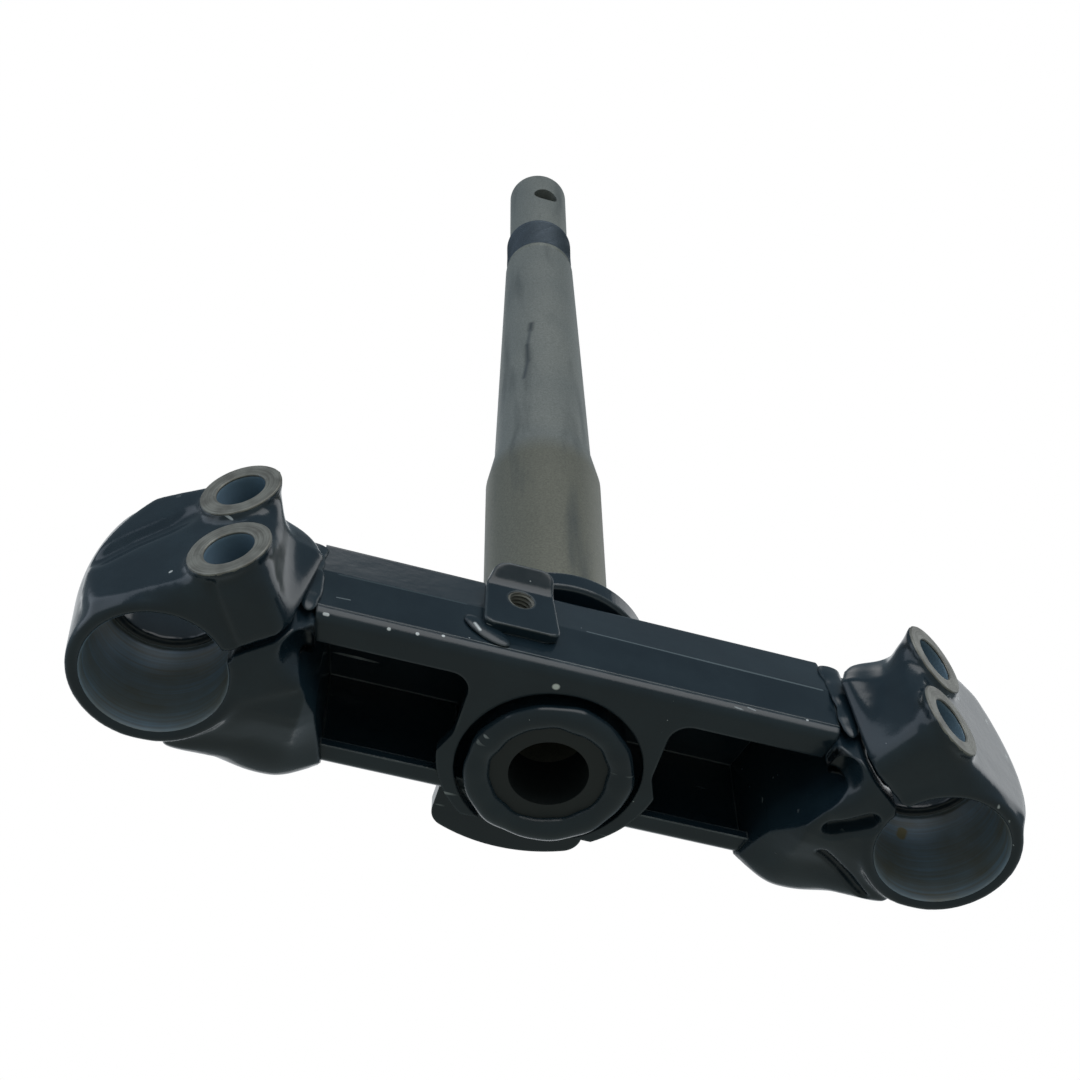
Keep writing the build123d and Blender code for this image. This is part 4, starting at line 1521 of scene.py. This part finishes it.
@dataclass
class Studio:
    """Pale floor, soft lights, white surroundings and the photograph's camera.

    A sine is the height of a direction, from -1 straight down to 1 straight up.
    """

    frame_px: float = 1080.0
    focal_px: float = 2096.5
    axis_px: Pair = (603.1, 580.5)
    camera_mm: Point = (-93.16, -291.70, -411.37)
    camera_degrees: Point = (145.344, 1.915, -17.739)
    sensor_mm: float = 36.0
    clip_m: float = 0.01
    lamps: tuple[Lamp, ...] = (
        Lamp("right", (1.2, 0.08, 1.06), 2.8, 1.0),
        Lamp("front", (0.0, -1.7, 0.35), 19.0, 1.8),
        Lamp("left", (-1.5, -0.3, 0.4), 7.0, 1.6, "e6f0ff"),
        Lamp("back", (0.0, 1.6, 1.2), 10.0, 2.2),
    )
    floor_mm: float = 3000.0
    floor_drop_mm: float = 0.2
    floor_fade_m: Pair = (0.9, 0.25)
    floor_colour: str = "f2f2f0"
    floor_glow: float = 0.5
    sky_colour: str = "c3d6e2"
    ground_colour: str = "cfd8d0"
    sky_strength: Pair = (0.45, 0.27)
    sky_sine: Pair = (0.1, 0.95)
    tint_sine: Pair = (-0.5, 0.5)
    ceiling_sine: Pair = (0.985, 1.0)

    def build(self) -> None:
        """Set the stage."""
        bpy.context.scene.view_settings.view_transform = "Standard"
        self._camera()
        self._floor()
        self._world()
        for lamp in self.lamps:
            lamp.build()

    def _camera(self) -> None:
        """The photograph's camera: the lens axis meets the picture at axis_px."""
        data = bpy.data.cameras.new("camera")
        data.sensor_width = self.sensor_mm
        data.lens = self.focal_px / self.frame_px * self.sensor_mm
        data.shift_x = (self.frame_px / 2 - self.axis_px[0]) / self.frame_px
        data.shift_y = (self.axis_px[1] - self.frame_px / 2) / self.frame_px
        data.clip_start = self.clip_m
        camera = linked("camera", data)
        camera.location = [v * MM for v in self.camera_mm]
        camera.rotation_euler = [math.radians(v) for v in self.camera_degrees]
        bpy.context.scene.camera = camera

    def _floor(self) -> None:
        """A pale floor under the rims: the camera sees it from above, fading into the white surroundings."""
        level = CAD_BOX[0][2] / MM - self.floor_drop_mm
        half = self.floor_mm / 2
        corners = [[-half, -half, level], [half, -half, level], [half, half, level], [-half, half, level]]
        floor = mesh_object("floor", np.array(corners), np.array([[0, 1, 2, 3]]))
        material, add = new_material("pale floor")
        place = add("TexCoord").outputs["Object"]
        reach = add("VectorMath", place, operation="LENGTH")
        near = add("MapRange", reach, *self.floor_fade_m)
        seen = add("LightPath").outputs["Is Camera Ray"]
        below = add("NewGeometry").outputs["Backfacing"]
        above = add("Math", seen, below, operation="SUBTRACT", use_clamp=True)
        share = add("Math", above, near, operation="MULTIPLY")
        matt = add("BsdfDiffuse", linear(self.floor_colour))
        glow = add("Emission", linear(self.floor_colour), 1.0)
        pale = add("MixShader", self.floor_glow, matt, glow)
        clear = add("BsdfTransparent")
        add("OutputMaterial", add("MixShader", share, clear, pale))
        floor.data.materials.append(material)

    def _world(self) -> None:
        """White for the camera, through glass and in the ceiling's reflection; a soft sky for the rest."""
        world = bpy.data.worlds.new("studio")
        world.use_nodes = True
        world.node_tree.nodes.clear()
        add = partial(add_node, world.node_tree)
        ray = add("LightPath").outputs
        upward = add("SeparateXYZ", add("TexCoord").outputs["Generated"]).outputs[2]
        ceiling = add("MapRange", upward, *self.ceiling_sine)
        glossy = add("Math", ray["Is Glossy Ray"], ceiling, operation="MULTIPLY")
        seen = add("Math", ray["Is Camera Ray"], ray["Is Transmission Ray"], operation="MAXIMUM")
        share = add("Math", glossy, seen, operation="MAXIMUM")
        strength = add("MapRange", upward, *self.sky_sine, *self.sky_strength)
        high = add("MapRange", upward, *self.tint_sine)
        tint = add("Mix", high, linear(self.ground_colour), linear(self.sky_colour), data_type="RGBA")
        sky = add("Background", tint, strength)
        white = add("Background", linear("ffffff"), 1.0)
        add("OutputWorld", add("MixShader", share, sky, white))
        bpy.context.scene.world = world


def main() -> None:
    """Build the part, then the studio around it."""
    logging.basicConfig(level=logging.INFO, format="%(message)s")
    Weldment().build()
    Studio().build()


if __name__ == "__main__":
    main()
